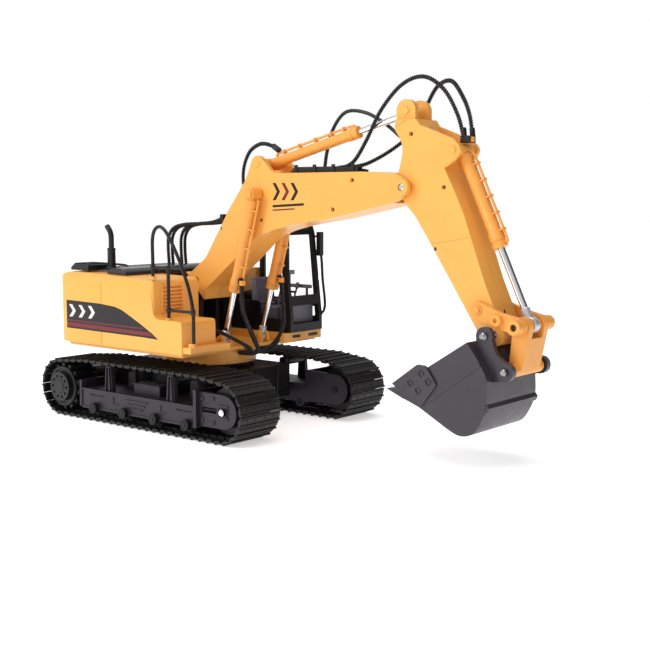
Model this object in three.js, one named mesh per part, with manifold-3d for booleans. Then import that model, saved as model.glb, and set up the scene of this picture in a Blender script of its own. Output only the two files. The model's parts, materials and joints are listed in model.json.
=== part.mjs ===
// A radio-controlled toy excavator: crawler undercarriage, slewing house, boom, stick and bucket.
// Millimetres, +X forward, +Y to the machine's left, +Z up. Shapes are drawn about the slew axis, with the
// ground at zero height, and the whole group is then shifted to the middle of its overall length.
import * as THREE from 'three';
import { mergeVertices } from 'three/addons/utils/BufferGeometryUtils.js';
import Module from 'manifold-3d';

const wasm = await Module();
wasm.setup();

// Undercarriage
const slewAxisX = -96.42; // the slew axis lies this far behind the middle of the overall length
const trackHalfSpan = 85;
const padWidth = 42.5;
const padCount = 62;
const grouserHeight = 1.2;
const beltThickness = 3.8;
const endRadius = 23.5; // outer radius of the belt round its end wheels, and their axle height
const topRunHeight = 49.8;
const sprocketX = -89.5;
const idlerX = 94.5;
const rollerHeight = 10;
const rollerXs = [-49, -13.6, 21.8, 57.2];
const carrierXs = [-35.6, 36.6];
const carrierHeight = 41.6;
const frameTop = 24.8;
const chassisHalfWidth = 41.7;
const drumRadius = 38.5;
const drumBottom = 45.7;
// House
const houseHalfWidth = 80.6;
const houseRear = -94;
const houseBottom = 61.4;
const roofHeight = 119;
const deckBottom = 58.6;
const deckTop = 61.1;
const wall = 2;
// Working equipment: pivots as [x, z] at rest
const boomHalfWidth = 16;
const stickHalfWidth = 12.5;
const boomFoot = [2.5, 112];
const liftTop = [71.7, 180.7];
const liftBottom = [38.5, 65.5];
const liftY = 21.4;
const armBase = [70.3, 203.3];
const stickEar = [204.5, 237.5];
const boomTip = [207, 185.2];
const bucketBase = [245, 210];
const rockerPivot = [268.5, 104.4];
const rockerTip = [299.5, 95.3];
const bucketPivot = [278.7, 88.4];
const bucketLinkPin = [295, 66.3];
const bucketHalfWidth = 32;
const pinRadius = 2.3;
const play = 0.3; // gap between touching pieces

// Materials
const yellow = new THREE.MeshStandardMaterial({ color: 0xf2a93b, roughness: 0.45 });
const black = new THREE.MeshStandardMaterial({ color: 0x1c1a1c, roughness: 0.5 });
const graphite = new THREE.MeshStandardMaterial({ color: 0x4a444c, roughness: 0.5 });
const rubber = new THREE.MeshStandardMaterial({ color: 0x221f21, roughness: 0.8 });
const grey = new THREE.MeshStandardMaterial({ color: 0x77737c, roughness: 0.5 });
const chrome = new THREE.MeshStandardMaterial({ color: 0xd8dadd, roughness: 0.15, metalness: 1 });
const green = new THREE.MeshStandardMaterial({ color: 0x2d6a3c, roughness: 0.6 });

// ---------------------------------------------------------------- solids
function toSolid(geometry) {
  geometry.deleteAttribute('normal');
  geometry.deleteAttribute('uv');
  const merged = mergeVertices(geometry, 1e-4);
  const vertProperties = merged.getAttribute('position').array;
  const triVerts = new Uint32Array(merged.index.array);
  return new wasm.Manifold(new wasm.Mesh({ numProp: 3, vertProperties, triVerts }));
}

function join(...solids) {
  return solids.reduce((whole, piece) => whole.add(piece));
}

function cut(base, ...tools) {
  return tools.reduce((rest, tool) => rest.subtract(tool), base);
}

// A closed outline from corners [a, b] or [a, b, rounding], the rounding being the setback of its curve,
// held under half of each neighbouring edge.
function outline(corners) {
  const shape = new THREE.Shape();
  corners.forEach(([a, b, rounding = 0], i) => {
    const corner = new THREE.Vector2(a, b);
    if (!rounding) {
      if (i) shape.lineTo(a, b);
      else shape.moveTo(a, b);
      return;
    }
    const before = new THREE.Vector2(...corners.at(i - 1));
    const after = new THREE.Vector2(...corners[(i + 1) % corners.length]);
    const setback = Math.min(rounding, 0.48 * before.distanceTo(corner), 0.48 * after.distanceTo(corner));
    const start = before.sub(corner).setLength(setback).add(corner);
    const end = after.sub(corner).setLength(setback).add(corner);
    if (i) shape.lineTo(start.x, start.y);
    else shape.moveTo(start.x, start.y);
    shape.quadraticCurveTo(a, b, end.x, end.y);
  });
  shape.closePath();
  return shape;
}

function extrude(shape, depth, curveSegments = 3) {
  return new THREE.ExtrudeGeometry(shape, { depth, bevelEnabled: false, curveSegments });
}

// An outline in the XZ plane carried from y = low to y = high.
function alongY(shape, low, high) {
  return toSolid(extrude(shape, high - low).rotateX(Math.PI / 2).translate(0, high, 0));
}

// An outline in the XY plane carried from z = low to z = high.
function alongZ(shape, low, high) {
  return toSolid(extrude(shape, high - low).translate(0, 0, low));
}

// An outline in the YZ plane carried from x = low to x = high.
function alongX(shape, low, high) {
  const turn = new THREE.Matrix4().makeBasis(
    new THREE.Vector3(0, 1, 0),
    new THREE.Vector3(0, 0, 1),
    new THREE.Vector3(1, 0, 0),
  );
  return toSolid(extrude(shape, high - low).applyMatrix4(turn).translate(low, 0, 0));
}

function box(x0, x1, y0, y1, z0, z1) {
  const geometry = new THREE.BoxGeometry(x1 - x0, y1 - y0, z1 - z0);
  return toSolid(geometry.translate((x0 + x1) / 2, (y0 + y1) / 2, (z0 + z1) / 2));
}

// A round bar along Y at [x, z].
function pin([x, z], radius, low, high, sides = 12) {
  const geometry = new THREE.CylinderGeometry(radius, radius, high - low, sides);
  return toSolid(geometry.translate(x, (low + high) / 2, z));
}

// A round bar along Z at [x, y].
function post([x, y], radius, low, high, sides = 16) {
  const geometry = new THREE.CylinderGeometry(radius, radius, high - low, sides);
  return toSolid(geometry.rotateX(Math.PI / 2).translate(x, y, (low + high) / 2));
}

// A round bar between two points.
function bar(from, to, radius, sides = 12) {
  const run = to.clone().sub(from);
  const geometry = new THREE.CylinderGeometry(radius, radius, run.length(), sides);
  const turn = new THREE.Quaternion().setFromUnitVectors(new THREE.Vector3(0, 1, 0), run.clone().normalize());
  const middle = from.clone().add(to).multiplyScalar(0.5);
  return toSolid(geometry.applyQuaternion(turn).translate(middle.x, middle.y, middle.z));
}

// A link of constant thickness with a round end at each of two pivots.
function strap(a, radiusA, b, radiusB, low, high) {
  const run = new THREE.Vector2(b[0] - a[0], b[1] - a[1]).normalize();
  const corner = (end, radius, side) => [end[0] - side * run.y * radius, end[1] + side * run.x * radius];
  const sides = outline([corner(a, radiusA, 1), corner(b, radiusB, 1), corner(b, radiusB, -1), corner(a, radiusA, -1)]);
  return join(alongY(sides, low, high), pin(a, radiusA, low, high), pin(b, radiusB, low, high));
}

// A hose through points [x, y, z].
function hose(points, radius = 1.25, steps = 12) {
  const path = new THREE.CatmullRomCurve3(points.map((p) => new THREE.Vector3(...p)));
  const section = new THREE.Shape();
  for (let i = 0; i < 8; i += 1) {
    const angle = (i * Math.PI) / 4;
    const at = [radius * Math.cos(angle), radius * Math.sin(angle)];
    if (i) section.lineTo(...at);
    else section.moveTo(...at);
  }
  section.closePath();
  return toSolid(new THREE.ExtrudeGeometry(section, { steps, extrudePath: path, bevelEnabled: false }));
}

// A toothed wheel's outline.
function toothed(teeth, root, tip) {
  const shape = new THREE.Shape();
  for (let i = 0; i < teeth; i += 1) {
    const steps = [[0, root], [0.28, root], [0.42, tip], [0.72, tip], [0.86, root]];
    steps.slice(1).forEach(([part, radius], k) => {
      const angle = ((i + part) * 2 * Math.PI) / teeth;
      const at = [radius * Math.cos(angle), radius * Math.sin(angle)];
      if (i || k) shape.lineTo(...at);
      else shape.moveTo(...at);
    });
  }
  shape.closePath();
  return shape;
}

// The two y values of a band that lies inner to outer millimetres out on one side, lowest first.
function band(side, inner, outer) {
  return side > 0 ? [inner, outer] : [-outer, -inner];
}

const sides = [
  { side: -1, label: 'right' },
  { side: 1, label: 'left' },
];

const excavator = new THREE.Group();
excavator.position.x = slewAxisX;

function part(name, solid, material) {
  const { vertProperties, triVerts } = solid.getMesh();
  const geometry = new THREE.BufferGeometry();
  geometry.setAttribute('position', new THREE.BufferAttribute(vertProperties, 3));
  geometry.setIndex(new THREE.BufferAttribute(triVerts, 1));
  geometry.computeVertexNormals();
  const mesh = new THREE.Mesh(geometry, material);
  mesh.name = name;
  excavator.add(mesh);
}

// ---------------------------------------------------------------- undercarriage
function chassisFrame() {
  const body = box(-62, 52, -chassisHalfWidth, chassisHalfWidth, 15, 42);
  const hollow = box(-59, 49, 3 - chassisHalfWidth, chassisHalfWidth - 3, 14, 39);
  const kingPost = post([0, 0], 12, 41, 60.5, 20);
  part('chassis_frame', join(cut(body, hollow), kingPost), black);
}

function slewRing() {
  const ring = toSolid(extrude(toothed(30, 34.6, 36.6), 3.1).translate(0, 0, 42 + play));
  part('slew_ring', cut(ring, post([0, 0], 12.6, 40, 50, 20)), black);
}

// The belt's centre line as points, each moved out along its own normal by offset(index).
function beltLoop(count, offset) {
  const path = new THREE.Path();
  path.moveTo(sprocketX, 0);
  path.lineTo(idlerX, 0);
  path.absarc(idlerX, endRadius, endRadius, -Math.PI / 2, Math.PI / 2 - 0.05, false);
  path.lineTo(72, topRunHeight);
  path.lineTo(-58, topRunHeight);
  path.absarc(sprocketX, endRadius, endRadius, Math.PI / 2 + 0.05, (3 * Math.PI) / 2, false);
  const points = path.getSpacedPoints(count).slice(0, count);
  return points.map((point, i) => {
    const along = points[(i + 1) % count].clone().sub(points.at(i - 1)).normalize();
    return new THREE.Vector2(point.x + along.y * offset(i), point.y - along.x * offset(i));
  });
}

function trackBelt({ side, label }) {
  const outer = beltLoop(padCount * 4, (i) => (i % 4 < 2 ? 0 : -grouserHeight));
  const shape = new THREE.Shape(outer);
  shape.holes.push(new THREE.Path(beltLoop(padCount, () => -beltThickness)));
  const belt = alongY(shape, ...band(side, trackHalfSpan - padWidth, trackHalfSpan));
  part(`track_belt_${label}`, belt, rubber);
}

function trackFrame({ side, label }) {
  const plates = [[48, 51], [76, 79.5]].map((span) => {
    const rail = alongY(outline([[-66, frameTop], [-66, 9.8], [66.5, 9.8], [66.5, frameTop]]), ...band(side, ...span));
    const lobes = rollerXs.map((x) => pin([x, rollerHeight], 5, ...band(side, ...span), 10));
    const cheek = alongY(outline([[63, 36.5], [63, 10.6], [95, 11], [95, 36]]), ...band(side, ...span));
    const nose = pin([95, endRadius], 12.5, ...band(side, ...span), 18);
    return join(rail, ...lobes, cheek, nose);
  });
  const web = box(-66, 66.5, ...band(side, 48, 79.5), frameTop - 2.5, frameTop);
  const bulkhead = box(64, 66.5, ...band(side, 48, 79.5), 10.6, 36.5);
  const toolBox = box(-13.5, 16, ...band(side, 56, 70), frameTop - 1, 32.5);
  const arm = box(-30, 30, ...band(side, chassisHalfWidth + play, 48.5), 14, frameTop);
  const posts = carrierXs.flatMap((x) =>
    [[49.5, 53], [74, 77.5]].map((span) => {
      const shape = outline([[x - 4.8, frameTop - 1], [x + 4.8, frameTop - 1], [x + 3.2, 44.6, 1.5], [x - 3.2, 44.6, 1.5]]);
      return alongY(shape, ...band(side, ...span));
    }),
  );
  const bores = [
    ...rollerXs.map((x) => pin([x, rollerHeight], 2 + play, ...band(side, 47, 81), 8)),
    ...carrierXs.map((x) => pin([x, carrierHeight], 1.8 + play, ...band(side, 47, 81), 8)),
    pin([idlerX, endRadius], 3 + play, ...band(side, 47, 81), 8),
  ];
  part(`track_frame_${label}`, cut(join(...plates, web, bulkhead, toolBox, arm, ...posts), ...bores), graphite);
}

function sprocket({ side, label }) {
  const wheel = alongY(toothed(14, 16.6, 19.2), ...band(side, 57, 79.5)).translate(sprocketX, 0, endRadius);
  const hub = pin([sprocketX, endRadius], 12.1, ...band(side, 79, 84.5), 24);
  const axle = pin([sprocketX, endRadius], 3, ...band(side, 45, 58), 8);
  const centre = pin([sprocketX, endRadius], 2.2, ...band(side, 81, 86), 10);
  part(`sprocket_${label}`, cut(join(wheel, hub, axle), centre), black);
}

function idler({ side, label }) {
  const at = [idlerX, endRadius];
  const rim = pin(at, 17.6, ...band(side, 53, 74), 20);
  const flange = pin(at, 19.3, ...band(side, 59, 68), 20);
  const axle = pin(at, 3, ...band(side, 47.5, 82), 8);
  part(`idler_${label}`, join(rim, flange, axle), black);
}

function driveUnit({ side, label }) {
  const casing = box(-103, -62.4, ...band(side, 3, 41), 17, 37);
  const drum = pin([sprocketX, endRadius], 14, ...band(side, 40, 53), 20);
  const bore = pin([sprocketX, endRadius], 3 + play, ...band(side, 43, 54), 8);
  part(`drive_unit_${label}`, cut(join(casing, drum), bore), black);
}

function roller({ side, label }, x, index) {
  const at = [x, rollerHeight];
  const body = pin(at, 5.8, ...band(side, 52, 75));
  const axle = pin(at, 2, ...band(side, 48.3, 81), 8);
  const cap = pin(at, 4.4, ...band(side, 80, 83.5), 10);
  part(`road_roller_${label}_${index + 1}`, join(body, axle, cap), black);
}

function carrier({ side, label }, x, index) {
  const at = [x, carrierHeight];
  const body = pin(at, 4, ...band(side, 53.6, 73.4), 12);
  const axle = pin(at, 1.8, ...band(side, 49.8, 77.2), 8);
  part(`carrier_roller_${label}_${index + 1}`, join(body, axle), black);
}

// ---------------------------------------------------------------- house
// The outer form of the upper body, drawn inwards by inset, from height low upwards.
function houseForm(inset, low) {
  const half = houseHalfWidth - inset;
  const rear = houseRear + inset;
  const top = roofHeight - inset;
  const plan = outline([
    [rear, -half, 12], [22 - inset, -half, 3], [22 - inset, -33 - inset], [-24 - inset, -33 - inset],
    [-24 - inset, 33 + inset], [-15 - inset, 33 + inset], [-15 - inset, half, 3], [rear, half, 12],
  ]);
  const profile = outline([[rear + 2.5, low], [rear, 84, 8], [rear + 1.5, top, 14], [22 - inset, top - 3.4, 4], [22 - inset, low]]);
  const section = outline([[-half, low], [half, low], [half, top, 9], [-half, top, 9]]);
  const body = alongZ(plan, low, 125)
    .intersect(alongY(profile, -90, 90))
    .intersect(alongX(section, -100, 60));
  const step = outline([[0, low], [53 - inset, low], [53 - inset, 86.5 - inset, 3], [22 - inset, 86.5 - inset, 7], [20 - inset, 108], [0, 108]]);
  return join(body, alongY(step, -half, -45.4 - inset));
}

function houseShell() {
  const shell = cut(houseForm(0, houseBottom), houseForm(wall, houseBottom - 1));
  const footLedge = box(52, 61.5, -79.8, -38, 63, 67.5);
  part('house_shell', join(shell, footLedge), yellow);
}

function houseDeck() {
  const plan = outline([[-91, -77, 12], [50, -77, 2], [50, -46], [46, -34, 3], [46, 33], [50, 33], [50, 77, 2], [-91, 77, 12]]);
  const plate = alongZ(plan, deckBottom, deckTop);
  const drum = post([0, 0], drumRadius, drumBottom, deckTop - 1, 36);
  const drumHollow = post([0, 0], drumRadius - 3, drumBottom - 1, deckBottom - 2, 24);
  const kingBore = post([0, 0], 12.4, 40, 70, 20);
  const platform = box(-14.6, 53, 34, houseHalfWidth, deckTop - 1, 67);
  const slots = [[44, 54], [64, 76]].map(([y0, y1]) => box(50.5, 54, y0, y1, 62.6, 65));
  const lugs = sides.flatMap(({ side }) =>
    [[liftY - 5, liftY - 2.5], [liftY + 2.5, liftY + 5]].map((span) =>
      join(pin(liftBottom, 4.8, ...band(side, ...span)), box(33.7, 43.3, ...band(side, ...span), deckTop - 1, 65.5)),
    ),
  );
  const eyeSlots = sides.map(({ side }) => box(32.5, 44.5, ...band(side, liftY - 2.5, liftY + 2.5), deckBottom - 1, 75));
  const solid = cut(join(plate, drum, platform, ...lugs), drumHollow, kingBore, ...slots, ...eyeSlots);
  part('house_deck', solid, yellow);
}

function boomBracket() {
  const cheekShape = outline([[6, 108.5], [1, 92], [1, deckTop + play], [-23.4, deckTop + play], [-13, 96], [-1.4, 115.4]]);
  const cheeks = [[-11, -7], [7, 11]].map(([low, high]) =>
    join(alongY(cheekShape, low, high), pin(boomFoot, 5.2, low, high)),
  );
  const base = box(-23.4, 1, -11, 11, deckTop + play, 65);
  const bore = pin(boomFoot, pinRadius + play, -12, 12);
  part('boom_bracket', cut(join(...cheeks, base), bore), black);
  part('boom_foot_pin', pin(boomFoot, pinRadius, -15.2, 15.2), chrome);
}

function cab() {
  const side = (inset) => outline([
    [-13.5 + inset, 67.3 + inset], [54.5 - inset, 67.3 + inset], [54.5 - inset, 80], [46.5 - inset, 148],
    [44 - inset, 155.5 - inset, 3], [-10 + inset, 155.5 - inset, 4], [-13.5 + inset, 148],
  ]);
  const body = alongY(side(0), 40, 80);
  const room = alongY(side(2.8), 42.6, 77.4);
  const rearPane = outline([[-9.5, 92, 2], [14, 92, 2], [14, 148, 3], [-9.5, 148, 3]]);
  const doorPane = outline([[18, 78, 2], [49, 78, 2], [47.6, 92, 1], [42, 148, 3], [18, 148, 3]]);
  const widePane = outline([[-9.5, 92, 2], [18, 92, 2], [20, 78, 2], [49, 78, 2], [47.6, 92, 1], [42, 148, 3], [-9.5, 148, 3]]);
  const sidePanes = [alongY(widePane, 38, 60), ...[rearPane, doorPane].map((shape) => alongY(shape, 60, 82))];
  const frontPane = alongX(outline([[43.5, 97, 2], [76.5, 97, 2], [76.5, 147, 2], [43.5, 147, 2]]), 35, 60);
  const lowPane = alongX(outline([[43.5, 74, 1], [76.5, 74, 1], [76.5, 89, 1], [43.5, 89, 1]]), 40, 60);
  const rearOpening = alongX(outline([[44, 97, 2], [76, 97, 2], [76, 146, 2], [44, 146, 2]]), -20, 0);
  const mirror = box(48.3, 52.3, 80.2, 84.6, 129, 149);
  const mirrorArms = [132, 144.5].map((z) => box(44, 49.3, 78.5, 81, z, z + 1.6));
  const guard = hose([[50.2, 79, 134], [50.5, 82.8, 131], [52.5, 83.2, 110], [55, 82.8, 84], [54.3, 79, 80]], 1.1, 14);
  const frame = cut(body, room, ...sidePanes, frontPane, lowPane, rearOpening);
  part('cab_frame', join(frame, mirror, ...mirrorArms, guard), black);
  const floorPan = box(-6, 47, 44, 76, 70.4, 72);
  const seat = box(6, 30, 50, 72, 71, 86);
  const backrest = alongY(outline([[2, 80, 1], [9, 80], [6, 110, 2], [1, 110, 2]]), 50, 72);
  const console = box(38, 45, 46, 76, 71, 88);
  const lever = join(post([45.4, 48.4], 1.4, 80, 116, 8), box(44, 46.8, 43, 54, 114.6, 118.2));
  const grip = join(post([42, 75], 1.2, 80, 103, 8), box(20, 46.5, 73.6, 76.4, 101.5, 104.5));
  part('cab_seat', join(floorPan, seat, backrest, console, lever, grip), grey);
}

function roofItems() {
  const roof = houseForm(-play, 60);
  const hoodShape = outline([[-44, 112], [-20, 112], [-20.5, 119, 2], [-26, 122.5, 3], [-39, 122.5, 3], [-43.5, 119, 2]]);
  part('engine_hood', cut(alongY(hoodShape, -70, 58), roof), black);
  const airBox = alongY(outline([[-84, 112], [-62, 112], [-62, 124, 2], [-80, 124.5, 2], [-84, 121, 2]]), -74, -50);
  const flue = join(
    post([-52, -58], 4.2, 112, 121.5, 12),
    post([-52, -58], 3.2, 120, 137, 12),
    hose([[-52, -58, 136], [-52, -58, 146], [-53.5, -58, 151], [-57, -58, 155.5]], 2.2, 10),
  );
  const saddle = box(-62.5, -51, -62, -54, 112, 120.6);
  part('exhaust_stack', cut(join(airBox, saddle, flue), roof), black);
}

function handrail() {
  const y = -75.5;
  const tubeRadius = 1.3;
  const arch = [[17, 116], [17, 132], [17, 146], [19.5, 153.5], [25, 156.3], [31, 153.5], [38, 145], [47, 130], [55.5, 112], [60, 95], [60.5, 80], [60.5, 67.9]];
  const rail = hose(arch.map(([x, z]) => [x, y, z]), tubeRadius, 26);
  const at = (x, z) => new THREE.Vector3(x, y, z);
  const second = bar(at(34, 86.9), at(34, 126), tubeRadius, 8);
  const upper = bar(at(17, 125.5), at(49.5, 125.5), 1.1, 8);
  const lower = bar(at(34, 93.7), at(60, 93.7), 1.1, 8);
  part('handrail', join(rail, second, upper, lower), black);
}

function innards() {
  const battery = join(box(-87, -50, -25, 25, 64, 92), box(-50.5, -46, -8, 8, 70, 82));
  part('battery_pack', battery, graphite);
  const board = join(box(-88, -34, 36, 72, 66, 67.6), box(-80, -66, 44, 60, 67.5, 71), box(-58, -50, 40, 66, 67.5, 76));
  part('circuit_board', board, green);
  const slewMotor = join(box(-21, 14, -74, -40, 61.4, 73), post([-4, -57], 9, 72, 98));
  part('slew_motor', slewMotor, grey);
  part('power_switch', join(box(-76, -66, 50, 56, 56.9, deckBottom - play), box(-73, -69, 51, 55, 54.6, 57)), black);
}

// ---------------------------------------------------------------- boom
function boomShell({ side, label }) {
  const outer = outline([
    [-10.3, 118.4, 2], [12, 95.2, 3], [13.3, 105.4, 2], [43.2, 128.2, 10], [65.6, 146.7, 12], [81.6, 152.5, 5],
    [99, 156.5], [141.8, 163.1], [182.6, 171.2], [201, 175.3, 2], [208.5, 178.7, 4], [213.5, 185.2, 5],
    [207, 191.8, 4], [199.8, 194.9, 2], [170.9, 196.4], [93, 196.2], [86, 196.8, 2], [76.5, 206], [65, 207],
    [58, 191.5], [39.5, 168.3], [13.2, 129.9, 3], [-5.6, 116.6, 1],
  ]);
  const inner = outline([
    [-16, 112], [2, 88], [10.2, 95.5], [11.2, 106.6], [42, 130.2, 8], [64.6, 148.7, 10], [81.2, 154.6], [98.6, 158.6],
    [141.5, 165.2], [182.2, 173.3], [198, 176.9], [198, 192.4], [170.8, 194.3], [59.5, 194.2], [41.2, 167.3],
    [14.8, 128.4], [-4.3, 114.3],
  ]);
  const body = join(alongY(outer, ...band(side, 0.15, boomHalfWidth)), pin(armBase, 6.5, ...band(side, 0.15, boomHalfWidth)));
  const hollow = alongY(inner, ...band(side, 0, boomHalfWidth - wall));
  const tipClearance = pin(boomTip, 15, ...band(side, 0, stickHalfWidth + 0.7), 24);
  const earSlot = box(54, 95, ...band(side, 0, 12.5), 196.5, 215);
  const tipBoss = pin(boomTip, 6, ...band(side, 15.5, 19));
  const liftStub = pin(liftTop, pinRadius, ...band(side, 15, 26.8));
  const bores = [
    pin(boomTip, pinRadius + play, ...band(side, 12, 20)),
    pin(boomFoot, pinRadius + play, ...band(side, 12, 17)),
    pin(armBase, 2 + play, ...band(side, 12, 17)),
  ];
  const solid = cut(join(cut(body, hollow, tipClearance, earSlot), tipBoss, liftStub), ...bores);
  part(`boom_shell_${label}`, solid, yellow);
}

function boomFittings() {
  part('stick_pin', pin(boomTip, pinRadius, -18.2, 18.2), chrome);
  const tray = join(box(96, 160, -6.5, 6.5, 196.8, 198.4), box(98, 160, -6.5, -5.3, 197, 200), box(98, 112, 5.3, 6.5, 197, 200));
  part('hose_tray', tray, black);
}

// ---------------------------------------------------------------- cylinders
// The point a distance along the line from pivot a towards pivot b, at y.
function between(a, b, distance, y) {
  const run = new THREE.Vector2(b[0] - a[0], b[1] - a[1]).setLength(distance);
  return new THREE.Vector3(a[0] + run.x, y, a[1] + run.y);
}

function barrel(name, base, rodEnd, y, { radius, start, length, boreStart, boreRadius, eye }) {
  const at = (distance) => between(base, rodEnd, distance, y);
  const tube = bar(at(start), at(length), radius, 12);
  const collar = bar(at(length - 10), at(length), radius + 0.6, 12);
  const bore = bar(at(boreStart), at(length + 5), boreRadius, 8);
  part(name, cut(join(tube, collar, eye), bore, ...(eye.bores ?? [])), yellow);
}

function liftCylinder({ side, label }) {
  const y = side * liftY;
  const eye = cut(
    pin(liftTop, 4.8, ...band(side, 16.9, 27.6)),
    pin(liftTop, pinRadius + play, ...band(side, 16, 29), 12),
  );
  const root = { radius: 4, start: 4.2, length: 78.8, boreStart: 12, boreRadius: 2.25 + play, eye };
  barrel(`lift_barrel_${label}`, liftTop, liftBottom, y, root);
  const rod = bar(between(liftTop, liftBottom, 40, y), between(liftTop, liftBottom, 117.5, y), 2.25, 8);
  const rodEye = pin(liftBottom, 3.2, y - 2, y + 2, 12);
  part(`lift_rod_${label}`, join(rod, rodEye), chrome);
}

function armCylinder() {
  const eye = join(pin(armBase, 4.4, -9, 9), pin(armBase, 2, -15, 15, 12));
  barrel('arm_barrel', armBase, stickEar, 0, { radius: 4, start: 3, length: 89, boreStart: 16, boreRadius: 2.2 + play, eye });
  const rod = bar(between(armBase, stickEar, 45, 0), between(armBase, stickEar, 136, 0), 2.2, 8);
  part('arm_rod', join(rod, pin(stickEar, 3.2, -4, 4, 12)), chrome);
}

function bucketCylinder() {
  const reach = Math.hypot(rockerTip[0] - bucketBase[0], rockerTip[1] - bucketBase[1]);
  const eye = join(pin(bucketBase, 4.2, -8.5, 8.5), pin(bucketBase, 2, -12, 12, 12));
  const form = { radius: 4.6, start: 3, length: 72, boreStart: 18, boreRadius: 2.4 + play, eye };
  barrel('bucket_barrel', bucketBase, rockerTip, 0, form);
  const rod = bar(between(bucketBase, rockerTip, 40, 0), between(bucketBase, rockerTip, reach - 4, 0), 2.4, 8);
  const clamp = pin(rockerTip, 5.5, -3.2, 3.2, 20);
  part('bucket_rod', cut(join(rod, clamp), pin(rockerTip, 4.5, -4, 4, 20)), chrome);
}

// ---------------------------------------------------------------- stick
function stickShell({ side, label }) {
  const outer = outline([
    [197.5, 231.5], [196.9, 224.8, 2], [202.6, 217.6, 3], [204.2, 209.5, 4], [201.9, 200.6, 3], [199.5, 192],
    [202, 180], [207.2, 173.1, 3], [214.9, 165.6, 4], [227.6, 147.4], [244.2, 122.9], [267.2, 88.4],
    [272, 84], [284.5, 92], [278.8, 105.9, 2], [270.5, 124.1], [254.4, 166.7], [247.3, 181.3], [234.7, 204.7],
    [217.9, 227.3, 1], [214.8, 231.5],
  ]);
  const inner = outline([
    [199.6, 229.5], [199.4, 225.4], [204.6, 218.6], [206.4, 209.8], [215.6, 170], [229.4, 148.3], [246, 124],
    [262, 99], [276.6, 104.8], [268.6, 123.4], [252.4, 166.4], [245.4, 180.6], [233, 203.6], [215.6, 226.7], [213.4, 229.5],
  ]);
  const body = join(
    alongY(outer, ...band(side, 0.15, stickHalfWidth)),
    pin(boomTip, 8, ...band(side, 0.15, stickHalfWidth)),
    pin(bucketPivot, 8, ...band(side, 0.15, stickHalfWidth)),
  );
  const hollow = alongY(inner, ...band(side, 0, stickHalfWidth - wall));
  const earFoot = outline([[196.5, 228], [212.5, 228], [212.5, 237.5], [196.5, 237.5]]);
  const ear = join(alongY(earFoot, ...band(side, 6, 10)), pin(stickEar, 8, ...band(side, 6, 10), 20));
  const bracketShape = outline([[214, 222], [217.9, 227.3], [246, 216.8, 4], [252, 210, 4], [247, 203.5, 3], [238, 198], [229, 206]]);
  const bracket = alongY(bracketShape, ...band(side, 9.3, stickHalfWidth));
  const rockerStub = pin(rockerPivot, pinRadius, ...band(side, 12, 18.2));
  const bores = [
    pin(boomTip, pinRadius + play, ...band(side, 0, 20)),
    pin(bucketPivot, 2.6 + play, ...band(side, 0, 20)),
    pin(bucketBase, 2 + play, ...band(side, 8, 20)),
  ];
  part(`stick_shell_${label}`, cut(join(cut(body, hollow), ear, bracket, rockerStub), ...bores), yellow);
}

function linkage() {
  const waist = pin(bucketPivot, 1.7, -20.5, 20.5);
  const journals = [[-26, -20.2], [-12.8, 12.8], [20.2, 26]].map((span) => pin(bucketPivot, 2.6, ...span));
  part('bucket_pin', join(waist, ...journals), chrome);
  const plates = sides.flatMap(({ side }) => {
    const middle = [284, 98.7];
    const span = band(side, 13.3, 17);
    const plate = join(strap(rockerPivot, 5.6, middle, 5.4, ...span), strap(middle, 5.4, rockerTip, 5.4, ...span));
    const bosses = [pin(middle, 4, ...band(side, 16, 20)), pin(rockerTip, 5, ...band(side, 16, 23.3)), pin(rockerTip, 4.3, ...band(side, 3.6, 14))];
    return [cut(plate, pin(rockerPivot, pinRadius + play, ...band(side, 12, 18))), ...bosses];
  });
  part('rocker', join(...plates, pin(rockerTip, 2.7, -4, 4)), yellow);
  const arms = sides.map(({ side }) => strap(rockerTip, 6.2, bucketLinkPin, 4.6, ...band(side, 7, 12.6)));
  const down = new THREE.Vector2(bucketLinkPin[0] - rockerTip[0], bucketLinkPin[1] - rockerTip[1]).normalize();
  const spot = (along, across) => [rockerTip[0] + down.x * along - down.y * across, rockerTip[1] + down.y * along + down.x * across];
  const web = alongY(outline([spot(8.5, 2), spot(8.5, 5.4), spot(27, 4.4), spot(27, 1)]), -12.6, 12.6);
  const hub = pin(bucketLinkPin, 4.6, -18.5, 18.5);
  part('bucket_link', cut(join(...arms, web, hub), pin(rockerTip, 4.3 + play, -13, 13, 20)), yellow);
}

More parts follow.
